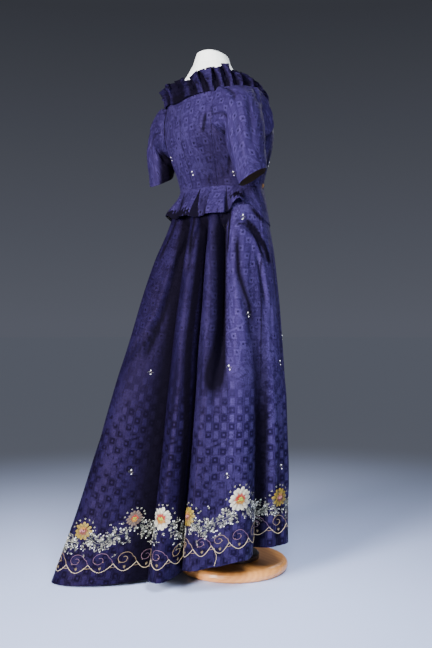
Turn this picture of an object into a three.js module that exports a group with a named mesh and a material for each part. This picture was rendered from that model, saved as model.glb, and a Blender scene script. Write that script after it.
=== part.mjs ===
// Embroidered silk gown on a limbless dress form.
//
// Units are millimetres and +Z is up. The origin is the centre of the stand's underside.
// The wearer faces -Y, so +Y is the centre back and +X is the wearer's left.
// Every cloth piece is a closed wall between an outer face and an inner face.
// "turn" is an angle round the body in degrees: 0 is the centre back, 90 the wearer's left,
// 180 the centre front and -90 the wearer's right.

import * as THREE from "three";

// ---------------------------------------------------------------- driving dimensions

const CLOTH = 1.5; // thickness of a silk wall with its turnings
const SEAM = 0.3; // clearance between two pieces that are sewn together
const LAYER = 0.7; // clearance between cloth layers that lie on each other
const FIT = -0.6; // the bodice's inner face against the body sections
const PADDING = -3; // the form's surface against the body sections

const WAIST_Z = 1036; // height of the waist seam
const SIDE_TURN = 84; // turn of the bodice's side seam
const BACK_TURN = 38; // turn of the side-back seam, which is also the armhole's back edge

const STAND = { radius: 153, height: 30, hubRadius: 74, hubHeight: 16, poleRadius: 15 };
const FORM = { bottom: 955, neckTop: 1402, neckTilt: 0.2 };

// Body sections. side, front and back are reaches from the section's centre, whose Y is "centre".
// "square" is the superellipse exponent: 2 is an ellipse.
const BODY = [
  { z: 900, side: 139, front: 102, back: 108, centre: 42, square: 2.1 },
  { z: 960, side: 138, front: 100, back: 103, centre: 41, square: 2.1 },
  { z: 1036, side: 133, front: 95, back: 95, centre: 39, square: 2.15 },
  { z: 1075, side: 137, front: 101, back: 103, centre: 39, square: 2.2 },
  { z: 1125, side: 148, front: 112, back: 121, centre: 39, square: 2.3 },
  { z: 1176, side: 160, front: 119, back: 131, centre: 42, square: 2.4 },
  { z: 1220, side: 168, front: 108, back: 127, centre: 48, square: 2.4 },
  { z: 1260, side: 164, front: 92, back: 111, centre: 56, square: 2.4 },
  { z: 1290, side: 148, front: 78, back: 104, centre: 62, square: 2.3 },
  { z: 1308, side: 132, front: 68, back: 97, centre: 65, square: 2.2 },
  { z: 1328, side: 108, front: 60, back: 86, centre: 67, square: 2.1 },
  { z: 1350, side: 80, front: 53, back: 71, centre: 68, square: 2 },
  { z: 1378, side: 58, front: 48, back: 57, centre: 68, square: 2 },
  { z: 1400, side: 49, front: 45, back: 48, centre: 67, square: 2 },
  { z: 1430, side: 45, front: 43, back: 44, centre: 66, square: 2 },
];

// Height of the bodice's top edge, where the neck band is sewn on.
const NECKLINE = [
  { turn: 0, z: 1270 },
  { turn: 45, z: 1279 },
  { turn: 88, z: 1289 },
  { turn: 115, z: 1272 },
  { turn: 140, z: 1240 },
  { turn: 162, z: 1205 },
  { turn: 180, z: 1190 },
];
const BAND_HEIGHT = 12;

// ---------------------------------------------------------------- small maths

const rad = (degrees) => (degrees * Math.PI) / 180;
const mix = (a, b, t) => a + (b - a) * t;
const clamp = (v, low = 0, high = 1) => Math.min(high, Math.max(low, v));
const smooth = (t) => t * t * (3 - 2 * t);
const power = (v, exponent) => Math.sign(v) * Math.abs(v) ** exponent;

// A smooth function through a table's points that never overshoots them.
function through(rows, key, column) {
  const xs = rows.map((row) => row[key]);
  const ys = rows.map((row) => row[column]);
  const slopes = xs.slice(1).map((x, i) => (ys[i + 1] - ys[i]) / (x - xs[i]));
  const tangents = xs.map((_, i) => {
    if (i === 0 || i === xs.length - 1) return slopes[Math.min(i, slopes.length - 1)];
    const [a, b] = [slopes[i - 1], slopes[i]];
    return a * b <= 0 ? 0 : (2 * a * b) / (a + b);
  });
  return (x) => {
    if (x <= xs[0]) return ys[0];
    if (x >= xs.at(-1)) return ys.at(-1);
    const i = xs.findIndex((edge) => edge > x) - 1;
    const width = xs[i + 1] - xs[i];
    const t = (x - xs[i]) / width;
    const rise = ys[i + 1] - ys[i];
    const bend = (1 - t) * (tangents[i] * width - rise) - t * (tangents[i + 1] * width - rise);
    return ys[i] + rise * t + t * (1 - t) * bend;
  };
}

function tableOf(rows, key) {
  const columns = Object.keys(rows[0]).filter((name) => typeof rows[0][name] === "number");
  return Object.fromEntries(columns.map((name) => [name, through(rows, key, name)]));
}

const body = tableOf(BODY, "z");
const necklineAt = through(NECKLINE, "turn", "z");
const neckline = (turn) => necklineAt(Math.abs(turn));

// A point of a superellipse section at this turn, grown outwards by "grow".
function ring(section, turn, grow = 0) {
  const reach = (Math.cos(rad(turn)) > 0 ? section.back : section.front) + grow;
  return {
    x: (section.side + grow) * power(Math.sin(rad(turn)), 2 / section.square),
    y: section.centre + reach * power(Math.cos(rad(turn)), 2 / section.square),
  };
}

function bodyPoint(turn, z, grow) {
  const section = {};
  for (const name of ["side", "front", "back", "centre", "square"]) section[name] = body[name](z);
  const { x, y } = ring(section, turn, grow);
  return new THREE.Vector3(x, y, z);
}

// ---------------------------------------------------------------- building walls

// A closed mesh from rows of points. Each row is a ring; the first and last rows are capped.
function solidFromRings(rings) {
  const across = rings[0].length;
  const positions = rings.flat().flatMap((p) => [p.x, p.y, p.z]);
  const faces = [];
  for (let i = 0; i < rings.length - 1; i++) {
    for (let j = 0; j < across; j++) {
      const k = (j + 1) % across;
      const [a, b, c, d] = [i * across + j, i * across + k, (i + 1) * across + k, (i + 1) * across + j];
      faces.push(a, b, c, a, c, d);
    }
  }
  for (const [row, flip] of [[0, true], [rings.length - 1, false]]) {
    const centre = positions.length / 3;
    const middle = rings[row].reduce((sum, p) => sum.add(p), new THREE.Vector3());
    middle.divideScalar(across);
    positions.push(middle.x, middle.y, middle.z);
    for (let j = 0; j < across; j++) {
      const [a, b] = [row * across + j, row * across + ((j + 1) % across)];
      faces.push(...(flip ? [centre, b, a] : [centre, a, b]));
    }
  }
  return outward(positions, faces);
}

// A geometry whose faces point out, whichever way round its rows ran.
function outward(positions, faces) {
  const at = (i) => new THREE.Vector3().fromArray(positions, 3 * i);
  let volume = 0;
  for (let i = 0; i < faces.length; i += 3) {
    volume += at(faces[i]).dot(at(faces[i + 1]).cross(at(faces[i + 2])));
  }
  if (volume < 0) {
    for (let i = 0; i < faces.length; i += 3) [faces[i + 1], faces[i + 2]] = [faces[i + 2], faces[i + 1]];
  }
  const geometry = new THREE.BufferGeometry();
  geometry.setAttribute("position", new THREE.Float32BufferAttribute(positions, 3));
  geometry.setIndex(faces);
  geometry.computeVertexNormals();
  return geometry;
}

// A cloth wall. face(u, v) gives a point of one of its faces for u and v from 0 to 1, and the
// other face lies "thick" away from it: outwards on the body, and inwards in a sleeve.
// loop closes the wall round u, and otherwise both ends are trimmed back by half a seam.
function clothWall({ face, columns, rows, side = 1, thick = CLOTH, loop = false, trim = 0.7 * SEAM }) {
  const wide = loop ? columns : columns + 1;
  const step = 1e-3;
  const faces = [];
  const positions = [];
  const at = (u, v) => face(loop ? u : clamp(u), clamp(v));
  const points = [[], []];
  for (let j = 0; j <= rows.length - 1; j++) {
    for (let i = 0; i < wide; i++) {
      const [u, v] = [i / columns, rows[j]];
      const p = at(u, v);
      const along = at(u + step, v).sub(at(u - step, v));
      const down = at(u, v + step).sub(at(u, v - step));
      const across = down.cross(along).normalize().multiplyScalar(side * thick);
      if (!loop && i === 0) p.addScaledVector(along.normalize(), trim);
      if (!loop && i === columns) p.addScaledVector(along.normalize(), -trim);
      points[0].push(p);
      points[1].push(p.clone().add(across));
    }
  }
  for (const layer of points) for (const p of layer) positions.push(p.x, p.y, p.z);
  const index = (layer, i, j) => layer * points[0].length + j * wide + (loop ? i % wide : i);
  const quad = (a, b, c, d) => faces.push(a, b, c, a, c, d);
  const last = rows.length - 1;
  for (let i = 0; i < columns; i++) {
    for (let j = 0; j < last; j++) {
      quad(index(0, i, j), index(0, i + 1, j), index(0, i + 1, j + 1), index(0, i, j + 1));
      quad(index(1, i, j), index(1, i, j + 1), index(1, i + 1, j + 1), index(1, i + 1, j));
    }
    quad(index(0, i, 0), index(1, i, 0), index(1, i + 1, 0), index(0, i + 1, 0));
    quad(index(0, i, last), index(0, i + 1, last), index(1, i + 1, last), index(1, i, last));
  }
  if (!loop) {
    for (let j = 0; j < last; j++) {
      quad(index(0, 0, j), index(0, 0, j + 1), index(1, 0, j + 1), index(1, 0, j));
      quad(index(0, columns, j), index(1, columns, j), index(1, columns, j + 1), index(0, columns, j + 1));
    }
  }
  return outward(positions, faces);
}

const evenly = (count) => Array.from({ length: count + 1 }, (_, i) => i / count);

// ---------------------------------------------------------------- materials and group

const silk = new THREE.MeshStandardMaterial({ color: 0x4a4486, roughness: 0.5, metalness: 0 });
const calico = new THREE.MeshStandardMaterial({ color: 0xe0e1dd, roughness: 0.8, metalness: 0 });
const beech = new THREE.MeshStandardMaterial({ color: 0xc69a6c, roughness: 0.35, metalness: 0 });
const steel = new THREE.MeshStandardMaterial({ color: 0x8d9094, roughness: 0.3, metalness: 1 });

const gown = new THREE.Group();

function add(name, geometry, material) {
  const mesh = new THREE.Mesh(geometry, material);
  mesh.name = name;
  gown.add(mesh);
  return mesh;
}

// ---------------------------------------------------------------- the dress form and its stand

function addForm() {
  const turns = Array.from({ length: 28 }, (_, i) => (i * 360) / 28);
  const heights = [FORM.bottom, 990, 1036, 1080, 1125, 1176, 1220, 1260, 1290, 1308, 1328, 1350, 1378];
  const rings = heights.map((z) => turns.map((turn) => bodyPoint(turn, z, PADDING)));
  // The neck's top is cut on a slope that falls towards the front, with a rounded cap.
  for (const [scale, lift] of [[1, 0], [0.72, 8], [0.3, 12]]) {
    rings.push(
      turns.map((turn) => {
        const edge = bodyPoint(turn, FORM.neckTop, PADDING);
        const centre = body.centre(FORM.neckTop);
        const y = centre + (edge.y - centre) * scale;
        return new THREE.Vector3(edge.x * scale, y, FORM.neckTop + lift + FORM.neckTilt * (y - centre));
      }),
    );
  }
  add("form_torso", solidFromRings(rings), calico);

  const { radius, height, hubRadius, hubHeight, poleRadius } = STAND;
  const lip = height / 2;
  const disc = [new THREE.Vector2(0, 0), new THREE.Vector2(radius - lip, 0)];
  for (let i = 1; i < 6; i++) {
    const a = rad(-90 + 30 * i);
    disc.push(new THREE.Vector2(radius - lip + lip * Math.cos(a), lip + lip * Math.sin(a)));
  }
  disc.push(new THREE.Vector2(radius - lip, height), new THREE.Vector2(0, height));
  add("stand_base", lathe(disc, 48), beech);

  const top = height + SEAM + hubHeight;
  const hub = [
    new THREE.Vector2(poleRadius + SEAM, height + SEAM),
    new THREE.Vector2(hubRadius, height + SEAM),
    new THREE.Vector2(hubRadius, top - 5),
    new THREE.Vector2(hubRadius - 5, top),
    new THREE.Vector2(poleRadius + SEAM, top),
    new THREE.Vector2(poleRadius + SEAM, height + SEAM),
  ];
  add("stand_hub", lathe(hub, 32), beech);

  const pole = [
    new THREE.Vector2(0, height + SEAM),
    new THREE.Vector2(poleRadius, height + SEAM),
    new THREE.Vector2(poleRadius, FORM.bottom - 9),
    new THREE.Vector2(46, FORM.bottom - 9),
    new THREE.Vector2(46, FORM.bottom - SEAM),
    new THREE.Vector2(0, FORM.bottom - SEAM),
  ];
  add("stand_pole", lathe(pole, 20), steel);
}

// LatheGeometry turns about Y, so it is stood up along Z, and its shared points are merged.
function lathe(profile, segments) {
  const points = [];
  const faces = [];
  const rows = profile.map(({ x, y }) => {
    const onAxis = x < 1e-6;
    const start = points.length / 3;
    const count = onAxis ? 1 : segments;
    for (let j = 0; j < count; j++) {
      const a = (2 * Math.PI * j) / segments;
      points.push(x * Math.cos(a), x * Math.sin(a), y);
    }
    return { start, count };
  });
  for (let i = 0; i < rows.length - 1; i++) {
    const [a, b] = [rows[i], rows[i + 1]];
    for (let j = 0; j < segments; j++) {
      const [a0, a1] = [a.start + (j % a.count), a.start + ((j + 1) % a.count)];
      const [b0, b1] = [b.start + (j % b.count), b.start + ((j + 1) % b.count)];
      if (a0 !== a1) faces.push(a0, a1, b1);
      if (b0 !== b1) faces.push(a0, b1, b0);
    }
  }
  return outward(points, faces);
}

addForm();

// ---------------------------------------------------------------- skirt

// Skirt sections below the waist seam, without folds. "train" is how much further the train
// reaches than the section, and trainTurn the direction in which it is laid.
const SKIRT = [
  { z: 0, side: 216, front: 150, back: 262, centre: 45, square: 2.2, train: 190, trainTurn: 22 },
  { z: 100, side: 216, front: 150, back: 246, centre: 45, square: 2.2, train: 165, trainTurn: 22 },
  { z: 230, side: 214, front: 150, back: 228, centre: 45, square: 2.2, train: 136, trainTurn: 22 },
  { z: 350, side: 210, front: 150, back: 210, centre: 45, square: 2.2, train: 116, trainTurn: 22 },
  { z: 480, side: 203, front: 150, back: 191, centre: 45, square: 2.2, train: 96, trainTurn: 22 },
  { z: 610, side: 192, front: 147, back: 173, centre: 45, square: 2.2, train: 70, trainTurn: 22 },
  { z: 740, side: 180, front: 140, back: 152, centre: 45, square: 2.2, train: 50, trainTurn: 22 },
  { z: 850, side: 166, front: 127, back: 134, centre: 44, square: 2.2, train: 30, trainTurn: 22 },
  { z: 930, side: 152, front: 114, back: 118, centre: 43, square: 2.2, train: 12, trainTurn: 20 },
  { z: 1000, side: 141, front: 102, back: 106, centre: 41, square: 2.15, train: 2, trainTurn: 20 },
  { z: 1036, side: 132.4, front: 94.4, back: 94.4, centre: 39, square: 2.15, train: 0, trainTurn: 20 },
];
const TRAIN_SPREAD = 19; // degrees from the train's middle to where it has faded to a third

// Folds round the skirt, each a line from the waist to the hem. waist and hem are its turns there,
// hip, thigh, knee and low its depth behind the section at those heights, edge its depth at the hem
// and hemZ the height of the hem on that line.
const FOLDS = [
  { name: "left side", waist: 92, hem: 96, hip: 0, thigh: 0, knee: 0, low: 0, edge: 0, hemZ: 88 },
  { name: "valley", waist: 74, hem: 80, hip: -22, thigh: -26, knee: -28, low: -34, edge: -44, hemZ: 70 },
  { name: "pleat", waist: 60, hem: 66, hip: 0, thigh: 0, knee: 0, low: 0, edge: 0, hemZ: 52 },
  { name: "valley", waist: 45, hem: 50, hip: -38, thigh: -52, knee: -60, low: -70, edge: -84, hemZ: 30 },
  { name: "train pleat", waist: 27, hem: 24, hip: 0, thigh: 0, knee: 0, low: 0, edge: 0, hemZ: 2.5 },
  { name: "centre valley", waist: 3, hem: 2, hip: -40, thigh: -56, knee: -70, low: -86, edge: -104, hemZ: 14 },
  { name: "pleat", waist: -12, hem: -17, hip: 0, thigh: 0, knee: 0, low: 0, edge: 0, hemZ: 29 },
  { name: "valley", waist: -24, hem: -27, hip: -40, thigh: -56, knee: -62, low: -72, edge: -84, hemZ: 48 },
  { name: "pleat", waist: -38, hem: -40, hip: 0, thigh: 0, knee: 0, low: 0, edge: 0, hemZ: 68 },
  { name: "valley", waist: -52, hem: -55, hip: -40, thigh: -54, knee: -8, low: -4, edge: -6, hemZ: 77 },
  { name: "pleat", waist: -66, hem: -72, hip: 0, thigh: 0, knee: 0, low: 0, edge: 0, hemZ: 88 },
  { name: "side valley", waist: -88, hem: -88, hip: -4, thigh: -8, knee: -20, low: -46, edge: -78, hemZ: 98 },
  { name: "right front", waist: -104, hem: -106, hip: 0, thigh: 0, knee: -4, low: -14, edge: -24, hemZ: 101 },
  { name: "front edge", waist: -126, hem: -124, hip: 0, thigh: 0, knee: 0, low: 0, edge: 0, hemZ: 103 },
  { name: "front dip", waist: -152, hem: -152, hip: 0, thigh: -2, knee: -5, low: -8, edge: -10, hemZ: 103 },
  { name: "centre front", waist: -180, hem: -180, hip: 0, thigh: 0, knee: 0, low: 0, edge: 0, hemZ: 102 },
  { name: "front dip", waist: -210, hem: -210, hip: 0, thigh: -2, knee: -5, low: -8, edge: -10, hemZ: 100 },
  { name: "left front", waist: -242, hem: -240, hip: 0, thigh: 0, knee: 0, low: 0, edge: 0, hemZ: 96 },
];
const FOLD_LEVELS = [
  { z: 1036, column: null },
  { z: 900, column: "hip" },
  { z: 720, column: "thigh" },
  { z: 480, column: "knee" },
  { z: 240, column: "low" },
  { z: 40, column: "edge" },
];
const SPREAD = 0.22; // how far a pleat's flanks swell over the valleys beside it

const skirtSection = tableOf(SKIRT, "z");

// The fold lines once round, from just past the left side back to it.
const foldLines = FOLDS.map((fold, i) => {
  const levels = FOLD_LEVELS.map(({ z, column }) => ({ z, depth: column ? fold[column] : 0 })).reverse();
  return { ...fold, index: i, depthAt: through(levels, "z", "depth") };
});

// u runs 0 to 1 round the skirt, one fold line after another, and z is the height.
function skirtFrame(u) {
  const count = foldLines.length;
  const place = (((u % 1) + 1) % 1) * count;
  const i = Math.floor(place) % count;
  const t = place - Math.floor(place);
  const [a, b] = [foldLines[i], foldLines[(i + 1) % count]];
  const lap = i === count - 1 ? 360 : 0;
  return { a, b, lap, t };
}

function hemHeight(u) {
  const { a, b, t } = skirtFrame(u);
  return mix(a.hemZ, b.hemZ, smooth(t));
}

function skirtPoint(u, v, grow = 0) {
  const { a, b, lap, t } = skirtFrame(u);
  const z = mix(WAIST_Z - 1, mix(a.hemZ, b.hemZ, smooth(t)), v);
  const down = smooth(clamp((WAIST_Z - z) / (WAIST_Z - 40)));
  const turnA = mix(a.waist, a.hem, down);
  const turnB = mix(b.waist, b.hem, down) - lap;
  const [depthA, depthB] = [a.depthAt(z), b.depthAt(z)];
  const depth = mix(depthA, depthB, smooth(t));
  const steep = clamp(Math.abs(depthA - depthB) / 60);
  const lean = SPREAD * steep * Math.sin(Math.PI * t) * (depthA > depthB ? 1 : -1);
  const turn = mix(turnA, turnB, t + lean);
  const section = {};
  for (const name of ["side", "front", "back", "centre", "square"]) section[name] = skirtSection[name](z);
  const train = trainReach(turn, z);
  const { x, y } = ring(section, turn, grow + train + depth);
  return clearOfForm(new THREE.Vector3(x, y, z), turn, grow);
}

function trainReach(turn, z) {
  const apart = ((turn - skirtSection.trainTurn(z) + 900) % 360) - 180;
  return skirtSection.train(z) * Math.exp(-((apart / TRAIN_SPREAD) ** 2));
}

// Moves a skirt point out, softly, where a valley would otherwise press into the form.
function clearOfForm(point, turn, grow) {
  const { z } = point;
  if (z < FORM.bottom - 45) return point;
  const limit = bodyPoint(turn, z, FIT + grow);
  const centre = body.centre(z);
  const reach = Math.hypot(point.x, point.y - centre);
  const spare = 2.5 * clamp((1010 - z) / 25) - 0.8 * Math.max(0, FORM.bottom - 6 - z);
  const least = Math.hypot(limit.x, limit.y - centre) + spare;
  const wanted = reach > least ? reach : least;
  point.x *= wanted / reach;
  point.y = centre + ((point.y - centre) * wanted) / reach;
  return point;
}

// Panels of the skirt: which fold lines each one runs between, and its columns.
const SKIRT_PANELS = [
  { name: "skirt_back_left", from: 1.0, to: 3.0, columns: 12 },
  { name: "skirt_train", from: 3.0, to: 5.0, columns: 14 },
  { name: "skirt_centre_back", from: 5.0, to: 7.0, columns: 13 },
  { name: "skirt_back_right", from: 7.0, to: 9.0, columns: 13 },
  { name: "skirt_side_right", from: 9.0, to: 11.0, columns: 13 },
  { name: "skirt_front", from: 11.0, to: 17.4, columns: 26 },
  { name: "skirt_side_left", from: 17.4, to: 19.0, columns: 9 },
];
const SKIRT_ROWS = [0, 0.045, 0.085, 0.13, 0.19, 0.27, 0.36, 0.47, 0.59, 0.72, 0.86, 1];

for (const { name, from, to, columns } of SKIRT_PANELS) {
  const face = (u, v) => skirtPoint(mix(from, to, u) / foldLines.length, v);
  add(name, clothWall({ face, columns, rows: SKIRT_ROWS, side: 1 }), silk);
}

// ---------------------------------------------------------------- bodice

// The armhole on the wearer's right as a rounded loop in turn and height. phi 0 is its top,
// 90 its back edge, 180 the underarm and 270 its front edge.
const ARMHOLE = { turn: -74, halfTurn: 36, z: 1212, rise: 84, fall: 66, above: 2.7, below: 2 };
const UNDERLAP = 4; // how far the bodice runs on under the sleeve's edge
const FRONT_TURN = 98; // turn where the front panel starts to rise to the neckline

function armhole(phi) {
  const square = Math.cos(rad(phi)) > 0 ? ARMHOLE.above : ARMHOLE.below;
  const turn = ARMHOLE.turn + ARMHOLE.halfTurn * power(Math.sin(rad(phi)), 2 / square);
  const half = Math.cos(rad(phi)) > 0 ? ARMHOLE.rise : ARMHOLE.fall;
  const z = ARMHOLE.z + half * power(Math.cos(rad(phi)), 2 / square);
  return { turn, z: Math.min(z, neckline(turn) - 3) };
}

// Top edge of the bodice at a turn: the armhole's lower edge, and the neckline on either side.
function bodiceTop(turn) {
  const across = clamp(Math.abs(-Math.abs(turn) - ARMHOLE.turn) / ARMHOLE.halfTurn);
  const drop = (1 - across ** ARMHOLE.below) ** (1 / ARMHOLE.below);
  const under = ARMHOLE.z - ARMHOLE.fall * drop + UNDERLAP;
  const front = smooth(clamp((Math.abs(turn) - FRONT_TURN) / 13));
  return mix(under, neckline(turn) - 4 * SEAM, front);
}

// Lower edge of the basque and peplum.
const BASQUE = [
  { turn: 0, z: 956 },
  { turn: 25, z: 958 },
  { turn: 50, z: 962 },
  { turn: 66, z: 982 },
  { turn: 84, z: 987 },
  { turn: 98, z: 962 },
  { turn: 112, z: 946 },
  { turn: 150, z: 936 },
  { turn: 180, z: 922 },
];
const basqueAt = through(BASQUE, "turn", "z");
const BASQUE_GROW = LAYER + CLOTH;

// A point of the bodice's inner face. Below the waist it lies on the skirt.
function bodicePoint(turn, z) {
  if (z >= WAIST_Z) {
    const ease = smooth(clamp((WAIST_Z + 12 - z) / 12));
    return bodyPoint(turn, z, FIT + ease * BASQUE_GROW);
  }
  const section = {};
  for (const name of ["side", "front", "back", "centre", "square"]) section[name] = skirtSection[name](z);
  const { x, y } = ring(section, turn, BASQUE_GROW + trainReach(turn, z));
  return new THREE.Vector3(x, y, z);
}

// Rows from the armhole's height to the waist. Neighbouring panels share them, so that their
// seams follow one line.
const BODICE_ROWS = [0, 0.1, 0.22, 0.35, 0.5, 0.66, 0.82, 1];
const YOKE = 0.25; // share of the back's rows above the armhole's lowest fitting line
const BACK_ROWS = [0, YOKE / 2, ...BODICE_ROWS.map((v) => mix(YOKE, 1, v))];
const FRONT_WAIST = 0.66; // share of the front's rows that lies above the waist
const BASQUE_ROWS = [0.05, 0.35, 0.68, 1];
const FRONT_ROWS = [...BODICE_ROWS, ...BASQUE_ROWS.map((v) => 1 + v)].map((v) =>
  v <= 1 ? v * FRONT_WAIST : mix(FRONT_WAIST, 1, v - 1),
);
const YOKE_Z = ARMHOLE.z + UNDERLAP;
const SHOULDER = 0.5; // how much wider, in turn, the back is at the neckline, under the sleeve head

function bodiceBack(name, from, to, columns) {
  const face = (u, v) => {
    const turn = mix(from, to, u) * (1 + SHOULDER * smooth(clamp(1 - v / YOKE)));
    const yoke = mix(neckline(turn) - 2 * SEAM, YOKE_Z, clamp(v / YOKE));
    const below = mix(YOKE_Z, WAIST_Z + SEAM, clamp((v - YOKE) / (1 - YOKE)));
    return bodicePoint(turn, v < YOKE ? yoke : below);
  };
  add(name, clothWall({ face, columns, rows: BACK_ROWS }), silk);
}

function bodiceSide(name, from, to, columns) {
  const face = (u, v) => {
    const turn = mix(from, to, u);
    return bodicePoint(turn, mix(bodiceTop(turn), WAIST_Z + SEAM, v));
  };
  add(name, clothWall({ face, columns, rows: BODICE_ROWS }), silk);
}

// Turns of the front's columns: they stand closer where its edge rises past the armhole.
const FRONT_SPACING = [
  { share: 0, turn: SIDE_TURN },
  { share: 0.2, turn: 97 },
  { share: 0.5, turn: 112 },
  { share: 1, turn: 180 },
];
const frontTurn = through(FRONT_SPACING, "share", "turn");

function bodiceFront(name, side, columns) {
  const face = (u, v) => {
    const turn = side * frontTurn(side < 0 ? u : 1 - u);
    const above = mix(bodiceTop(turn), WAIST_Z + SEAM, clamp(v / FRONT_WAIST));
    const under = clamp((v - FRONT_WAIST) / (1 - FRONT_WAIST));
    const below = mix(WAIST_Z + SEAM, basqueAt(Math.abs(turn)), under);
    return bodicePoint(turn, v < FRONT_WAIST ? above : below);
  };
  add(name, clothWall({ face, columns, rows: FRONT_ROWS }), silk);
}

bodiceBack("bodice_back", BACK_TURN, -BACK_TURN, 14);
bodiceSide("bodice_side_right", -BACK_TURN, -SIDE_TURN, 9);
bodiceSide("bodice_side_left", SIDE_TURN, BACK_TURN, 9);
bodiceFront("bodice_front_right", -1, 20);
bodiceFront("bodice_front_left", 1, 20);

// ---------------------------------------------------------------- peplum

// Flutes of the back basque: the flare of each line at the lower edge, beyond the skirt, and how
// far that edge is lifted, which opens a flute downwards.
const FLUTES = [
  { turn: -84, flare: 0, lift: 0 },
  { turn: -76, flare: 2, lift: 0 },
  { turn: -66, flare: 20, lift: 18 },
  { turn: -56, flare: 1, lift: 0 },
  { turn: -50, flare: 14, lift: 0 },
  { turn: -34, flare: 18, lift: 0 },
  { turn: -25, flare: 1, lift: 0 },
  { turn: -6, flare: 18, lift: 6 },
  { turn: 13, flare: 0, lift: 0 },
  { turn: 28, flare: 15, lift: 16 },
  { turn: 43, flare: 0, lift: 0 },
  { turn: 58, flare: 13, lift: 12 },
  { turn: 73, flare: 1, lift: 0 },
  { turn: 84, flare: 0, lift: 0 },
];
const fluteAt = through(FLUTES, "turn", "flare");
const liftAt = through(FLUTES, "turn", "lift");

function peplumPoint(turn, v) {
  const z = mix(WAIST_Z, basqueAt(Math.abs(turn)), v);
  const p = bodicePoint(turn, z - 0.01);
  const away = p.clone().sub(new THREE.Vector3(0, skirtSection.centre(z), z)).normalize();
  p.addScaledVector(away, fluteAt(turn) * smooth(v));
  p.z = z - 1 + liftAt(turn) * smooth(v) * v;
  return p;
}

add(
  "peplum",
  clothWall({
    face: (u, v) => peplumPoint(mix(SIDE_TURN, -SIDE_TURN, u), v),
    columns: 60,
    rows: [0, 0.2, 0.45, 0.72, 1],
    side: 1,
  }),
  silk,
);

// ---------------------------------------------------------------- sleeves

// Rings of each sleeve's outer face below the armhole. lean turns the ring from level (0) to upright (90),
// fall is how much its back edge hangs below its front, as a slope.
const SLEEVE_RIGHT = [
  { x: 179, y: 99, z: 1202, deep: 61, wide: 58, lean: 72, fall: 0 },
  { x: 189, y: 103, z: 1158, deep: 49, wide: 56, lean: 44, fall: 0.1 },
  { x: 193, y: 100, z: 1116, deep: 40, wide: 49, lean: 18, fall: 0.25 },
  { x: 196, y: 84, z: 1047, deep: 35, wide: 37, lean: 26, fall: 0.4 },
];
const SLEEVE_LEFT = [
  { x: 179, y: 99, z: 1208, deep: 59, wide: 56, lean: 72, fall: 0 },
  { x: 189, y: 104, z: 1172, deep: 46, wide: 52, lean: 44, fall: 0.1 },
  { x: 194, y: 106, z: 1138, deep: 38, wide: 44, lean: 20, fall: 0.25 },
  { x: 197, y: 108, z: 1087, deep: 31, wide: 35, lean: 4, fall: 0.5 },
];
const SLEEVE_OFF = 2.4; // the sleeve's edge stands this far off the body sections
const SLEEVE_RISE = 11; // and leaves the armhole squarely for this far
const SLEEVE_ROWS = [0, 0.1, 0.2, 0.32, 0.46, 0.62, 0.8, 1];

function sleeveRing({ x, y, z, deep, wide, lean, fall }, phi) {
  const [across, back] = [deep * Math.cos(rad(phi)), wide * Math.sin(rad(phi))];
  const out = -x - across * Math.cos(rad(lean));
  return new THREE.Vector3(out, y + back, z + across * Math.sin(rad(lean)) - fall * back);
}

function sleevePoint(rings, mirror, u, v) {
  const phi = 360 * u;
  const loop = armhole(phi);
  const start = bodyPoint(loop.turn, loop.z, SLEEVE_OFF);
  const away = bodyPoint(loop.turn, loop.z, SLEEVE_OFF + 10).sub(start).normalize();
  const lifted = start.clone().addScaledVector(away, SLEEVE_RISE);
  const stops = [start, lifted, ...rings.map((row) => sleeveRing(row, phi))];
  const curve = new THREE.CatmullRomCurve3(stops, false, "centripetal");
  const p = curve.getPoint(clamp(v));
  return new THREE.Vector3(mirror * p.x, p.y, p.z);
}

function addSleeve(name, rings, mirror) {
  const face = (u, v) => sleevePoint(rings, mirror, u, v);
  add(name, clothWall({ face, columns: 26, rows: SLEEVE_ROWS, side: mirror, loop: true }), silk);
}

addSleeve("sleeve_right", SLEEVE_RIGHT, 1);
addSleeve("sleeve_left", SLEEVE_LEFT, -1);

// ---------------------------------------------------------------- neck band and ruffle

add(
  "neck_band",
  clothWall({
    face: (u, v) => {
      const turn = 180 - 360 * u;
      return bodyPoint(turn, neckline(turn) + BAND_HEIGHT * (1 - v), FIT);
    },
    columns: 56,
    rows: [0, 1],
    side: 1,
    loop: true,
  }),
  silk,
);

const RUFFLE = { waves: 42, height: 60, start: 2.5, offset: 3.6, foot: 1.4, wave: 8 };
const RUFFLE_UP = 0.96; // its rise along Z for each millimetre of its height
const RUFFLE_BACK = 0.24; // and its drift towards the back, as the neckline falls to the front
// How far the ruffle's free edge leans out from the neck; below zero it lies back on the shoulder.
const RUFFLE_LEAN = [
  { turn: 0, lean: 2 },
  { turn: 45, lean: -6 },
  { turn: 85, lean: -21 },
  { turn: 115, lean: -33 },
  { turn: 145, lean: -10 },
  { turn: 180, lean: 2 },
];
const ruffleLean = through(RUFFLE_LEAN, "turn", "lean");

add(
  "neck_ruffle",
  clothWall({
    face: (u, v) => {
      const turn = 180 - 360 * u;
      const up = 1 - v;
      const foot = bodyPoint(turn, neckline(turn) + RUFFLE.start, 0);
      const away = new THREE.Vector3(foot.x, foot.y - body.centre(foot.z), 0).normalize();
      const swing = Math.sin(2 * Math.PI * RUFFLE.waves * u);
      const wave = swing * mix(RUFFLE.foot, RUFFLE.wave, up);
      foot.addScaledVector(away, RUFFLE.offset + ruffleLean(Math.abs(turn)) * up * up + wave);
      foot.y += RUFFLE_BACK * RUFFLE.height * up * up;
      foot.z += RUFFLE_UP * RUFFLE.height * up;
      return foot;
    },
    columns: 42 * 4,
    rows: [0, 0.5, 1],
    side: 1,
    loop: true,
    thick: 1.1,
  }),
  silk,
);

export default gown;
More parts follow.
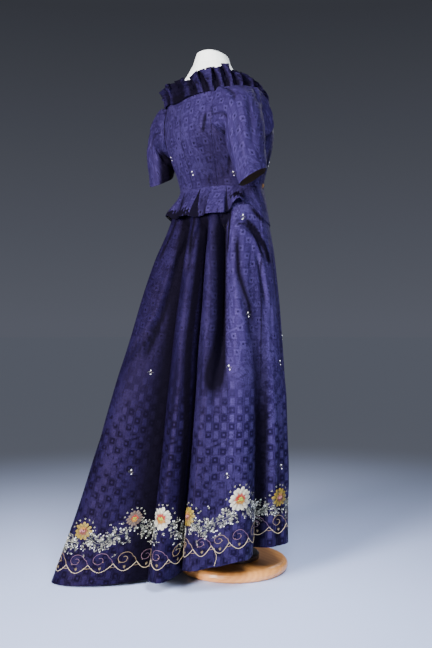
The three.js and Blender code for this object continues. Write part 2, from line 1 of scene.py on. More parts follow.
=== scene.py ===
"""Looks of an embroidered silk gown on a limbless dress form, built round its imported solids.

Lengths are in millimetres until a mesh is made. "turn" is an angle round the body in degrees:
0 is the centre back, 90 the wearer's left, 180 the centre front and -90 the wearer's right.
"""

import math

import bpy
import numpy as np
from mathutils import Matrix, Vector


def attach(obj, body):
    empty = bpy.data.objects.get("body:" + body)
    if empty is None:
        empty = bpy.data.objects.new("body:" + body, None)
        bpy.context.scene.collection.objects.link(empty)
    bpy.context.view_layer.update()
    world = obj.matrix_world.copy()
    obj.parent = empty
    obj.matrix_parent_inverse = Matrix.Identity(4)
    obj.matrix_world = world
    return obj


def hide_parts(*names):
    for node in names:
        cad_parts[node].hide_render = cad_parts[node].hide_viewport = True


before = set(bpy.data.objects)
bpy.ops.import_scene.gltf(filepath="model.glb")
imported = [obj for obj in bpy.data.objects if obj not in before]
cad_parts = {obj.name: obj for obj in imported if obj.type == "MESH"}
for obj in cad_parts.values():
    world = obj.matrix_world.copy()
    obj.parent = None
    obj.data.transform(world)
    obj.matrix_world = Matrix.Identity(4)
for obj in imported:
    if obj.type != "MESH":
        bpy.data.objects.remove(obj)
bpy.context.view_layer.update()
MM = 0.001

# ---------------------------------------------------------------- camera, floor and light

# Directions as the picture shows them: away from the camera, to the right and up.
LOOK = np.array([0.809, -0.588, 0.0])
RIGHT = np.array([-0.588, -0.809, 0.0])
UP = np.array([0.0, 0.0, 1.0])
CAMERA_AT = np.array([-1.7932, 1.3602, 0.676])
GOWN_MIDDLE = (0, 0.05, 0.75)

camera = bpy.data.objects.new("camera", bpy.data.cameras.new("camera"))
bpy.context.collection.objects.link(camera)
camera.location = CAMERA_AT
camera.rotation_mode = "QUATERNION"
camera.rotation_quaternion = Vector(LOOK).to_track_quat("-Z", "Y")
camera.data.lens = 45
camera.data.sensor_width = 36
camera.data.clip_end = 100
bpy.context.scene.camera = camera


def area_light(name, place, size, power, colour, aim=GOWN_MIDDLE):
    light = bpy.data.lights.new(name, "AREA")
    light.shape, light.size, light.energy, light.color = "DISK", size, power, colour
    lamp = bpy.data.objects.new(name, light)
    bpy.context.collection.objects.link(lamp)
    lamp.location = place
    lamp.rotation_mode = "QUATERNION"
    lamp.rotation_quaternion = (Vector(aim) - Vector(place)).to_track_quat("-Z", "Y")


def seen_from(right, near, up):
    """A point in metres from the stand: to the right in the picture, towards the camera and up."""
    return tuple(right * RIGHT - near * LOOK + up * UP)


area_light("key", seen_from(-1.75, 2.3, 1.15), 1.0, 270, (1.0, 0.985, 0.97))
area_light("fill", seen_from(2.0, 2.1, 1.2), 1.8, 7, (0.93, 0.95, 1.0))
area_light("back", seen_from(0.9, -1.9, 2.3), 1.8, 22, (0.95, 0.97, 1.0))
FLOOR_IN_FRONT = seen_from(0.1, 1.0, 0.0)
area_light("floor_light", seen_from(0.3, 1.7, 1.8), 0.9, 84, (0.86, 0.93, 1.0), FLOOR_IN_FRONT)


class Shader:
    """The nodes of one material, with short calls for what its pattern needs."""

    def __init__(self, name):
        self.material = bpy.data.materials.new(name)
        self.material.use_nodes = True
        self.tree = self.material.node_tree
        self.surface = self.tree.nodes["Principled BSDF"]

    def put(self, socket, value):
        if isinstance(value, bpy.types.NodeSocket):
            self.tree.links.new(value, socket)
        else:
            socket.default_value = value

    def set(self, name, value):
        """Gives an input of the surface a fixed value or the result of a node."""
        self.put(self.surface.inputs[name], value)

    def node(self, kind, inputs=None, **settings):
        made = self.tree.nodes.new("ShaderNode" + kind)
        for key, value in settings.items():
            setattr(made, key, value)
        for key, value in (inputs or {}).items():
            self.put(made.inputs[key], value)
        return made

    def math(self, operation, *values, clamp=False):
        made = self.node("Math", operation=operation, use_clamp=clamp)
        for socket, value in zip(made.inputs, values):
            self.put(socket, value)
        return made.outputs[0]

    def add(self, *values):
        total = values[0]
        for value in values[1:]:
            total = self.math("ADD", total, value)
        return total

    def times(self, *values):
        total = values[0]
        for value in values[1:]:
            total = self.math("MULTIPLY", total, value)
        return total

    def rest(self, value):
        """What is left of 1."""
        return self.math("SUBTRACT", 1.0, value)

    def off(self, value, middle):
        """Distance from a middle value, either way."""
        return self.math("ABSOLUTE", self.math("SUBTRACT", value, middle))

    def less(self, value, edge, soft):
        """1 where value is below edge, 0 above it, with a soft change between."""
        inputs = {"Value": value, "From Min": edge + soft, "From Max": edge - soft}
        return self.node("MapRange", inputs, interpolation_type="SMOOTHSTEP").outputs[0]

    def more(self, value, edge, soft):
        return self.rest(self.less(value, edge, soft))

    def within(self, value, low, high, soft):
        return self.times(self.less(value, high, soft), self.more(value, low, soft))

    def either(self, *values):
        most = values[0]
        for value in values[1:]:
            most = self.math("MAXIMUM", most, value)
        return most

    def mix(self, share, a, b):
        made = self.node("Mix", data_type="RGBA")
        self.put(made.inputs[0], share)
        self.put(made.inputs[6], a)
        self.put(made.inputs[7], b)
        return made.outputs[2]

    def coordinates(self, kind):
        return self.node("TexCoord").outputs[kind]

    def parts(self, vector):
        return self.node("SeparateXYZ", {"Vector": vector}).outputs

    def noise(self, vector, scale, detail=2.0, roughness=0.5):
        inputs = {"Vector": vector, "Scale": scale, "Detail": detail, "Roughness": roughness}
        return self.node("TexNoise", inputs).outputs["Fac"]

    def stretched(self, vector, scale):
        return self.node("Mapping", {"Vector": vector, "Scale": scale}).outputs[0]

    def cloth(self):
        """The cloth's own measures in metres, across and along its threads."""
        return self.node("UVMap", uv_map="cloth").outputs[0]

    def stored(self, name):
        """A value kept with each point of a piece."""
        return self.node("Attribute", attribute_name=name).outputs["Fac"]

    def length(self, x, y):
        return self.math("SQRT", self.add(self.times(x, x), self.times(y, y)))

    def weave(self, place, fine, long):
        """Crossed threads: the noise's scale is fine across each thread and long along it."""
        warp = self.noise(self.stretched(place, (fine, fine, long)), 1.0, 1.0)
        weft = self.noise(self.stretched(place, (long, long, fine)), 1.0, 1.0)
        return self.times(self.add(warp, weft), 0.5)

    def bump(self, height, distance, strength=1.0):
        inputs = {"Height": height, "Distance": distance, "Strength": strength}
        self.set("Normal", self.node("Bump", inputs).outputs[0])


def srgb(red, green, blue):
    """A colour of 0 to 255 a channel as the linear value that a shader takes."""
    channels = [c / 255 for c in (red, green, blue)]
    return (*[c / 12.92 if c <= 0.04045 else ((c + 0.055) / 1.055) ** 2.4 for c in channels], 1.0)


def floor_material():
    """A floor painted lit in a pool round the stand, going over to the backdrop's grey further out."""
    sh = Shader("studio_floor")
    place = sh.coordinates("Object")
    x, y, _ = sh.parts(place)
    far = sh.add(sh.length(x, y), sh.times(sh.noise(place, 1.2), 0.15))
    # Painted light: 1 in the pool round the stand, 0 far out.
    shade = sh.less(far, 1.2, 1.3)
    colour = sh.mix(shade, srgb(12, 12, 14), srgb(198, 212, 255))
    sh.set("Base Color", colour)
    # Far out the floor is painted dark and glows with painted light in the backdrop's grey.
    painted_glow = sh.mix(shade, srgb(84, 88, 99), (0.0, 0.0, 0.0, 1.0))
    sh.set("Emission Color", painted_glow)
    sh.set("Emission Strength", 1.0)
    sh.set("Roughness", 0.75)
    sh.set("Specular IOR Level", 0.2)
    return sh.material


def make_world():
    """A plain studio backdrop, a little lighter at the horizon."""
    world = bpy.data.worlds.new("studio")
    world.use_nodes = True
    bpy.context.scene.world = world
    tree = world.node_tree
    place = tree.nodes.new("ShaderNodeTexCoord")
    split = tree.nodes.new("ShaderNodeSeparateXYZ")
    ramp = tree.nodes.new("ShaderNodeValToRGB")
    back = tree.nodes["Background"]
    tree.links.new(place.outputs["Generated"], split.inputs[0])
    tree.links.new(split.outputs["Z"], ramp.inputs["Fac"])
    tree.links.new(ramp.outputs["Color"], back.inputs["Color"])
    horizon, above = ramp.color_ramp.elements
    horizon.position, horizon.color = 0.0, srgb(88, 91, 102)
    above.position, above.color = 0.36, srgb(56, 58, 65)
    back.inputs["Strength"].default_value = 1.0


def make_floor():
    count, radius = 96, 40.0
    turns = np.linspace(0, 2 * math.pi, count, False)
    rim = [(radius * math.cos(a), radius * math.sin(a), 0.0) for a in turns]
    mesh = bpy.data.meshes.new("floor")
    mesh.from_pydata(rim, [], [list(range(count))])
    floor = bpy.data.objects.new("floor", mesh)
    bpy.context.collection.objects.link(floor)
    mesh.materials.append(floor_material())


make_world()
make_floor()

# ---------------------------------------------------------------- small maths

CLOTH = 1.5  # thickness of lined silk
WAIST_Z = 1036
SIDE_TURN = 84  # the side seams of the bodice
BACK_TURN = 38  # its side-back seams


def mix(a, b, t):
    return a + (b - a) * t


def clamp(v, low=0.0, high=1.0):
    return np.clip(v, low, high)


def smooth(t):
    t = clamp(t)
    return t * t * (3 - 2 * t)


def power(v, exponent):
    return np.sign(v) * np.abs(v) ** exponent


def hill(distance, width):
    return np.exp(-((distance / width) ** 2))


def through(xs, ys):
    """A smooth function through these points that never overshoots them."""
    xs, ys = np.asarray(xs, float), np.asarray(ys, float)
    slopes = np.diff(ys) / np.diff(xs)
    a, b = slopes[:-1], slopes[1:]
    inner = np.where(a * b > 0, 2 * a * b / np.where(a + b == 0, 1, a + b), 0)
    tangents = np.concatenate([slopes[:1], inner, slopes[-1:]])

    def at(x):
        x = clamp(np.asarray(x, float), xs[0], xs[-1])
        i = clamp(np.searchsorted(xs, x, side="right") - 1, 0, len(xs) - 2).astype(int)
        width, rise = xs[i + 1] - xs[i], ys[i + 1] - ys[i]
        t = (x - xs[i]) / width
        bend = (1 - t) * (tangents[i] * width - rise) - t * (tangents[i + 1] * width - rise)
        return ys[i] + rise * t + t * (1 - t) * bend

    return at


def columns_of(rows):
    """A smooth function for each column of a table, by its first column."""
    rows = sorted(rows)
    return [through([r[0] for r in rows], [r[k] for r in rows]) for k in range(1, len(rows[0]))]


def shares(columns, rows):
    """Shares across and down of a grid of points, from 0 to 1."""
    return np.meshgrid(np.linspace(0, 1, columns + 1), np.linspace(0, 1, rows + 1))


def shares_round(columns, rows):
    """Shares round and down of a grid whose last column is beside its first."""
    return np.meshgrid(np.linspace(0, 1, columns, endpoint=False), np.linspace(0, 1, rows))


def unit(vectors):
    length = np.linalg.norm(vectors, axis=-1, keepdims=True)
    return vectors / np.where(length == 0, 1, length)


def points(x, y, z):
    return np.stack(np.broadcast_arrays(x, y, z), -1).astype(float)


# ---------------------------------------------------------------- forms, as the solids have them

# height, side, front, back, centre, square
BODY = [
    (900, 139, 102, 108, 42, 2.1),
    (960, 138, 100, 103, 41, 2.1),
    (1036, 133, 95, 95, 39, 2.15),
    (1075, 137, 101, 103, 39, 2.2),
    (1125, 148, 112, 121, 39, 2.3),
    (1176, 160, 119, 131, 42, 2.4),
    (1220, 168, 108, 127, 48, 2.4),
    (1260, 164, 92, 111, 56, 2.4),
    (1290, 148, 78, 104, 62, 2.3),
    (1308, 132, 68, 97, 65, 2.2),
    (1328, 108, 60, 86, 67, 2.1),
    (1350, 80, 53, 71, 68, 2),
    (1378, 58, 48, 57, 68, 2),
    (1400, 49, 45, 48, 67, 2),
    (1430, 45, 43, 44, 66, 2),
]
# height, side, front, back, centre, square, train, the train's turn
SKIRT = [
    (0, 216, 150, 262, 45, 2.2, 190, 22),
    (100, 216, 150, 246, 45, 2.2, 165, 22),
    (230, 214, 150, 228, 45, 2.2, 136, 22),
    (350, 210, 150, 210, 45, 2.2, 116, 22),
    (480, 203, 150, 191, 45, 2.2, 96, 22),
    (610, 192, 147, 173, 45, 2.2, 70, 22),
    (740, 180, 140, 152, 45, 2.2, 50, 22),
    (850, 166, 127, 134, 44, 2.2, 30, 22),
    (930, 152, 114, 118, 43, 2.2, 12, 20),
    (1000, 141, 102, 106, 41, 2.15, 2, 20),
    (1036, 132.4, 94.4, 94.4, 39, 2.15, 0, 20),
]
TRAIN_SPREAD = 19  # degrees to each side in which the train falls away
SPREAD = 0.22  # how far the cloth leans towards its pleats, as a share of a fold
STEEP = 60  # depth over which a fold counts as steep
CLOSE = -0.6  # how far the silk's outer face lies out of the form's own
# Heights below which the skirt's valleys stand clear of the form, may come closer to it, and are
# free of it.
CLEAR_BELOW, EASED_BELOW, FREE_BELOW = 1010, 949, 910
# turn at the waist and the hem, depth at 900, 720, 480, 240 and 40, height of the hem
FOLDS = [
    (92, 96, 0, 0, 0, 0, 0, 88),
    (74, 80, -22, -26, -28, -34, -44, 70),
    (60, 66, 0, 0, 0, 0, 0, 52),
    (45, 50, -38, -52, -60, -70, -84, 30),
    (27, 24, 0, 0, 0, 0, 0, 2.5),
    (3, 2, -40, -56, -70, -86, -104, 14),
    (-12, -17, 0, 0, 0, 0, 0, 29),
    (-24, -27, -40, -56, -62, -72, -84, 48),
    (-38, -40, 0, 0, 0, 0, 0, 68),
    (-52, -55, -40, -54, -8, -4, -6, 77),
    (-66, -72, 0, 0, 0, 0, 0, 88),
    (-88, -88, -4, -8, -20, -46, -78, 98),
    (-104, -106, 0, 0, -4, -14, -24, 101),
    (-126, -124, 0, 0, 0, 0, 0, 103),
    (-152, -152, 0, -2, -5, -8, -10, 103),
    (-180, -180, 0, 0, 0, 0, 0, 102),
    (-210, -210, 0, -2, -5, -8, -10, 100),
    (-242, -240, 0, 0, 0, 0, 0, 96),
]
FOLD_HEIGHTS = (40, 240, 480, 720, 900, 1036)
LINES = len(FOLDS)
# The neckline's and the basque's edge, as turn and height.
NECKLINE = [(0, 1270), (45, 1279), (88, 1289), (115, 1272), (140, 1240), (162, 1205), (180, 1190)]
BASQUE = [
    (0, 956), (25, 958), (50, 962), (66, 982), (84, 987), (98, 962), (112, 946), (150, 936), (180, 922),
]

body = columns_of(BODY)
skirt = columns_of(SKIRT)
neckline_at = columns_of(NECKLINE)[0]
basque_at = columns_of(BASQUE)[0]
fold_depth = [through(FOLD_HEIGHTS, (*fold[6:1:-1], 0)) for fold in FOLDS]
fold_waist, fold_hem, fold_end = (np.array([fold[k] for fold in FOLDS], float) for k in (0, 1, 7))


def neckline(turn):
    return neckline_at(np.abs(turn))


def ring(section, turn, grow):
    """A point of a squared oval whose back and front reach differently from its centre."""
    side, front, back, centre, square = section
    angle = np.radians(turn)
    reach = np.where(np.cos(angle) > 0, back, front) + grow
    x = (side + grow) * power(np.sin(angle), 2 / square)
    return x, centre + reach * power(np.cos(angle), 2 / square)


def body_point(turn, z, grow):
    x, y = ring([column(z) for column in body], turn, grow)
    return points(x, y, z)


def train_reach(turn, z):
    """How far the train stands out of the round skirt."""
    apart = (turn - skirt[6](z) + 900) % 360 - 180
    return skirt[5](z) * hill(apart, TRAIN_SPREAD)


def skirt_height(fold, v):
    """Height of a point of the skirt, v being 0 at the waist and 1 at the hem."""
    i = np.floor(fold).astype(int) % LINES
    hem = mix(fold_end[i], fold_end[(i + 1) % LINES], smooth(fold - np.floor(fold)))
    return mix(WAIST_Z - 1, hem, v)


def depths_beside(fold, z):
    """How far the fold lines before and after each point stand out at its height."""
    i = np.floor(fold).astype(int) % LINES
    depths = np.stack([depth(z) for depth in fold_depth])
    return [np.take_along_axis(depths, line[None], 0)[0] for line in (i, (i + 1) % LINES)]


def skirt_point(fold, z):
    """A point of the skirt: fold counts the fold lines round it."""
    i = np.floor(fold).astype(int) % LINES
    j = (i + 1) % LINES
    t = fold - np.floor(fold)
    down = smooth((WAIST_Z - z) / (WAIST_Z - FOLD_HEIGHTS[0]))
    turn_a = mix(fold_waist[i], fold_hem[i], down)
    turn_b = mix(fold_waist[j], fold_hem[j], down) - np.where(j == 0, 360, 0)
    depth_a, depth_b = depths_beside(fold, z)
    steep = clamp(np.abs(depth_a - depth_b) / STEEP)
    lean = SPREAD * steep * np.sin(np.pi * t) * np.where(depth_a > depth_b, 1, -1)
    turn = mix(turn_a, turn_b, t + lean)
    depth = mix(depth_a, depth_b, smooth(t))
    x, y = ring([column(z) for column in skirt[:5]], turn, train_reach(turn, z) + depth)
    # A valley stops softly where it would press into the form.
    limit = body_point(turn, z, CLOSE)
    centre = body[3](z)
    reach = np.hypot(x, y - centre)
    spare = 2.5 * clamp((CLEAR_BELOW - z) / 25) - 0.8 * np.maximum(0, EASED_BELOW - z)
    least = np.hypot(limit[..., 0], limit[..., 1] - centre) + spare
    least = np.where(z < FREE_BELOW, 0, least)
    grown = np.maximum(reach, least) / reach
    return points(x * grown, centre + (y - centre) * grown, z)


# ---------------------------------------------------------------- meshes


def make_piece(name, where, faces, materials, uv, of_face, sharp=None):
    """A piece from points in millimetres and faces of four corners.

    of_face tells each face's material. An edge between points of the same sharp number is sharp.
    """
    faces = np.asarray(faces, np.int32)
    mesh = bpy.data.meshes.new(name)
    mesh.vertices.add(len(where))
    mesh.vertices.foreach_set("co", (np.asarray(where) * MM).astype(np.float32).ravel())
    mesh.loops.add(faces.size)
    mesh.loops.foreach_set("vertex_index", faces.ravel())
    mesh.polygons.add(len(faces))
    starts = np.arange(0, faces.size, faces.shape[1], dtype=np.int32)
    mesh.polygons.foreach_set("loop_start", starts)
    mesh.polygons.foreach_set("material_index", np.asarray(of_face, np.int32))
    mesh.update(calc_edges=True)
    mesh.polygons.foreach_set("use_smooth", np.ones(len(faces), bool))
    layer = mesh.uv_layers.new(name="cloth")
    layer.data.foreach_set("uv", np.asarray(uv, np.float32)[faces.ravel()].ravel())
    if sharp is not None:
        edges = np.zeros(len(mesh.edges) * 2, np.int32)
        mesh.edges.foreach_get("vertices", edges)
        edges = edges.reshape(-1, 2)
        mark = (sharp[edges[:, 0]] > 0) & (sharp[edges[:, 0]] == sharp[edges[:, 1]])
        mesh.edges.foreach_set("use_edge_sharp", mark)
    for material in materials:
        mesh.materials.append(material)
    piece = bpy.data.objects.new(name, mesh)
    bpy.context.collection.objects.link(piece)
    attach(piece, "root")
    return piece


def grid_normals(grid, loop=False, flip=1):
    """Outward normals of a grid of points, whose rows run down and columns clockwise from above."""
    down = np.gradient(grid, axis=0)
    if loop:
        beside = (np.roll(grid, -1, 1) - np.roll(grid, 1, 1)) / 2
    else:
        beside = np.gradient(grid, axis=1)
    return unit(np.cross(down, beside)) * flip


def shell(name, grid, uv, materials, loop=False, flip=1, thick=CLOTH):
    """A closed wall of cloth: its outer face is the grid, and its inner face lies behind it."""
    rows, across = grid.shape[:2]
    normals = grid_normals(grid, loop, flip)
    size = rows * across
    where = np.concatenate([grid.reshape(-1, 3), (grid - normals * thick).reshape(-1, 3)])
    index = np.arange(size).reshape(rows, across)
    if loop:
        index = np.concatenate([index, index[:, :1]], 1)
    a, b, c, d = index[:-1, :-1], index[:-1, 1:], index[1:, 1:], index[1:, :-1]
    outer = np.stack([a, d, c, b], -1).reshape(-1, 4)
    inner = np.stack([a, b, c, d], -1).reshape(-1, 4) + size
    edges = [index[0], index[-1][::-1]] + ([] if loop else [index[::-1, 0], index[:, -1]])
    rim = np.concatenate(
        [np.stack([line[:-1], line[1:], line[1:] + size, line[:-1] + size], -1) for line in edges]
    )
    faces = np.concatenate([outer, inner, rim])
    if flip < 0:
        faces = faces[:, ::-1]
    of_face = np.concatenate([np.zeros(len(outer)), np.ones(len(inner)), np.zeros(len(rim))])
    edge = np.zeros((2, rows, across), int)
    for layer in (0, 1):
        edge[layer, [0, -1]] = layer + 1
        if not loop:
            edge[layer][:, [0, -1]] = layer + 1
    uvs = np.concatenate([uv.reshape(-1, 2)] * 2)
    return make_piece(name, where, faces, materials, uvs, of_face, edge.ravel())


def lengths(grid, axis):
    """Distance along a grid's lines from their first point."""
    steps = np.linalg.norm(np.diff(grid, axis=axis), axis=-1)
    start = np.zeros_like(np.take(steps, [0], axis))
    return np.concatenate([start, np.cumsum(steps, axis)], axis)


# ---------------------------------------------------------------- silk, lining, form and stand

CELL = (0.0195, 0.0205)  # width and height of one check of the damask, in metres
PLAIN_ABOVE = 0.52  # the height, in metres, above which the checks grow plainer


def silk_material(name, painted_dim, painted_bright):
    """Purple damask: dark checks with a lighter eye between satin blocks, under tonal sprays.

    The first palette gives the colours of its ground, light and dark threads painted in shade, the
    second the same colours painted lit.
    """
    sh = Shader(name)
    cloth, place = sh.cloth(), sh.coordinates("Object")
    u, v, _ = sh.parts(cloth)
    _, _, height = sh.parts(place)
    sway = sh.times(sh.math("SUBTRACT", sh.noise(cloth, 60.0, 1.0), 0.5), 0.0012)
    x, y = (sh.math("DIVIDE", sh.add(way, sway), cell) for way, cell in zip((u, v), CELL))
    across, along = (sh.off(sh.math("FRACT", way), 0.5) for way in (x, y))
    parity = sh.math("FLOORED_MODULO", sh.add(sh.math("FLOOR", x), sh.math("FLOOR", y)), 2.0)
    square = sh.either(across, along)
    block = sh.rest(parity)
    frame_ring = sh.times(parity, sh.within(square, 0.14, 0.38, 0.04))
    eye = sh.times(parity, sh.less(square, 0.12, 0.04))
    satin = sh.times(block, sh.less(across, 0.3, 0.04), sh.less(along, 0.44, 0.04))
    lines = sh.times(block, sh.within(across, 0.34, 0.42, 0.04))
    # Higher up the eyes are dark dots in a lighter ring.
    high = sh.more(height, PLAIN_ABOVE, 0.14)
    low = sh.rest(high)
    bright = sh.times(satin, sh.add(0.25, sh.times(low, 0.75)))
    bright = sh.add(bright, sh.times(frame_ring, high, 0.75))
    bright = sh.add(bright, sh.times(eye, low, 0.6))
    deep = sh.add(sh.times(frame_ring, low), sh.times(eye, high, 0.8), sh.times(lines, low, 0.8))
    # Sprays: petals round scattered points, and the curling stems between them.
    spots = {"Vector": cloth, "Scale": 7.5, "Randomness": 0.55}
    scatter = sh.node("TexVoronoi", spots, voronoi_dimensions="2D", feature="F1")
    apart = {0: cloth, 1: scatter.outputs["Position"]}
    away = sh.node("VectorMath", apart, operation="SUBTRACT").outputs[0]
    dx, dy, _ = sh.parts(away)
    far = sh.length(dx, dy)
    petal = sh.math("ABSOLUTE", sh.math("SINE", sh.times(sh.math("ARCTAN2", dy, dx), 3.5)))
    reach = sh.add(0.011, sh.times(petal, 0.016))
    bloom = sh.less(sh.math("DIVIDE", far, reach), 1.0, 0.16)
    bloom = sh.times(bloom, sh.more(far, 0.005, 0.0015))
    swirl = sh.noise(cloth, 13.0, 1.5)
    stem = sh.within(swirl, 0.475, 0.525, 0.012)
    leaf = sh.less(sh.off(sh.noise(cloth, 34.0, 0.0), 0.66), 0.035, 0.02)
    spray = sh.either(bloom, sh.times(stem, 0.8), sh.times(leaf, 0.7))
    spray = sh.times(spray, sh.less(sh.noise(cloth, 3.3, 1.0), 0.56, 0.08))
    bright = sh.either(sh.times(bright, sh.rest(sh.times(spray, 0.7))), sh.times(spray, 0.85))
    deep = sh.times(deep, sh.rest(sh.times(spray, 0.75)))
    # Broad changes of colour: painted light and shade, uneven where the silk has faded and been handled.
    drift = sh.noise(place, 5.0, 3.0)
    uneven = sh.times(sh.math("SUBTRACT", drift, 0.5), 0.5)
    tone = sh.math("ADD", sh.stored("tone"), uneven, clamp=True)
    ground, light, dark = (sh.mix(tone, new, old) for new, old in zip(painted_dim, painted_bright))
    colour = sh.mix(sh.times(bright, 0.75), ground, light)
    colour = sh.mix(sh.times(deep, 0.85), colour, dark)
    slub = sh.noise(sh.stretched(cloth, (350.0, 2600.0, 1.0)), 1.0, 1.0)
    colour = sh.mix(sh.times(slub, 0.22), colour, dark)
    # Short dark strokes where the tonal sprays turn over, and the grain of the crêped ground.
    stroke = sh.less(sh.off(sh.noise(cloth, 58.0, 1.0), 0.5), 0.03, 0.018)
    stroke = sh.times(stroke, sh.more(sh.noise(cloth, 21.0, 1.0), 0.5, 0.05))
    grain = sh.more(sh.noise(cloth, 240.0, 2.0, 0.7), 0.5, 0.14)
    colour = sh.mix(sh.either(sh.times(stroke, 0.62), sh.times(grain, 0.34)), colour, dark)
    # Painted shade: the stored value darkens the silk nearly to black in valleys, creases and shadows.
    painted_shade = sh.stored("painted_shade")
    colour = sh.mix(sh.times(painted_shade, 0.97), colour, srgb(5, 4, 9))
    sh.set("Base Color", colour)
    rough = sh.math("SUBTRACT", 0.56, sh.times(bright, 0.09))
    rough = sh.add(rough, sh.times(deep, 0.12), sh.times(drift, 0.06), sh.times(painted_shade, 0.3))
    sh.set("Roughness", rough)
    sh.set("Specular IOR Level", 0.07)
    sh.set("Specular Tint", srgb(205, 175, 255))
    crumple = sh.noise(cloth, 55.0, 3.0, 0.65)
    relief = sh.add(sh.times(bright, 0.5), sh.times(slub, 0.5), sh.times(crumple, 9.0))
    sh.bump(relief, 0.0004, 0.6)
    return sh.material


def plain_cloth(name, colour, other, threads, roughness=0.85, sheen=0.1):
    """Plain woven cloth with its warp, weft and a little unevenness."""
    sh = Shader(name)
    place = sh.coordinates("Object")
    weave = sh.weave(place, threads, threads * 0.12)
    share = sh.add(sh.times(weave, 0.55), sh.times(sh.noise(place, 9.0, 3.0), 0.45))
    sh.set("Base Color", sh.mix(share, colour, other))
    sh.set("Roughness", sh.add(roughness - 0.05, sh.times(weave, 0.1)))
    sh.set("Sheen Weight", sheen)
    sh.set("Specular IOR Level", 0.25)
    sh.bump(weave, 0.0003, 0.5)
    return sh.material


def wood_material(name, pale, warm, grain_scale=1.0, roughness=0.28):
    """Varnished turned wood, its grain running across the disc along X."""
    sh = Shader(name)
    place = sh.coordinates("Object")
    bent = sh.noise(sh.stretched(place, (2.0, 9.0, 9.0)), 1.0, 2.0)
    _, y, z = sh.parts(place)
    deep = sh.add(y, sh.times(bent, 0.09), sh.times(z, 0.7))
    rings = sh.math("SINE", sh.times(deep, 330.0 * grain_scale))
    rings = sh.times(sh.add(rings, 1.0), 0.5)
    pores = sh.noise(sh.stretched(place, (60.0, 900.0, 900.0)), 1.0, 2.0)
    share = sh.add(sh.times(rings, 0.4), sh.times(pores, 0.35), sh.times(bent, 0.25))
    sh.set("Base Color", sh.mix(share, pale, warm))
    sh.set("Roughness", sh.add(roughness, sh.times(pores, 0.12)))
    sh.set("Coat Weight", 0.35)
    sh.set("Coat Roughness", 0.15)
    sh.bump(sh.add(sh.times(pores, 0.5), sh.times(rings, 0.3)), 0.0002, 0.5)
    return sh.material


def steel_material():
    sh = Shader("steel_pole")
    place = sh.coordinates("Object")
    marks = sh.noise(sh.stretched(place, (90.0, 90.0, 4.0)), 1.0, 3.0)
    sh.set("Base Color", sh.mix(marks, srgb(150, 152, 156), srgb(190, 192, 195)))
    sh.set("Metallic", 1.0)
    sh.set("Roughness", sh.add(0.25, sh.times(marks, 0.2)))
    sh.bump(marks, 0.0001, 0.4)
    return sh.material


def form_material():
    """Calico stretched over the form, with the centre seam of its cover."""
    sh = Shader("form_cover")
    place = sh.coordinates("Object")
    x, _, _ = sh.parts(place)
    weave = sh.weave(place, 700.0, 90.0)
    seam = sh.less(sh.math("ABSOLUTE", x), 0.0007, 0.0005)
    share = sh.add(sh.times(weave, 0.4), sh.times(sh.noise(place, 7.0, 3.0), 0.5))
    colour = sh.mix(share, srgb(252, 252, 248), srgb(230, 230, 225))
    sh.set("Base Color", sh.mix(sh.times(seam, 0.5), colour, srgb(150, 150, 146)))
    sh.set("Roughness", sh.add(0.78, sh.times(weave, 0.12)))
    sh.set("Specular IOR Level", 0.25)
    sh.bump(sh.math("SUBTRACT", weave, sh.times(seam, 1.5)), 0.0004, 0.6)
    return sh.material


silk = silk_material(
    # The silk's colours painted in shade, then the same colours painted lit.
    "purple_damask",
    (srgb(15, 10, 33), srgb(26, 19, 51), srgb(4, 2, 12)),
    (srgb(43, 34, 73), srgb(70, 60, 108), srgb(17, 11, 38)),
)
facing = plain_cloth("dark_facing", srgb(20, 15, 17), srgb(11, 8, 10), 1200.0, 0.8, 0.05)
lining = plain_cloth("brown_lining", srgb(78, 60, 46), srgb(54, 41, 31), 1100.0)


def dress_node(name, material):
    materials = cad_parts[name].data.materials
    materials.clear()
    materials.append(material)


dress_node("form_torso", form_material())
dress_node("stand_base", wood_material("beech", srgb(250, 176, 98), srgb(224, 138, 66)))
# The hub is the base's wood painted dark, as in shadow.
dress_node("stand_hub", wood_material("dark_wood", srgb(64, 42, 32), srgb(34, 22, 18), 1.6, 0.35))
dress_node("stand_pole", steel_material())

# ---------------------------------------------------------------- skirt

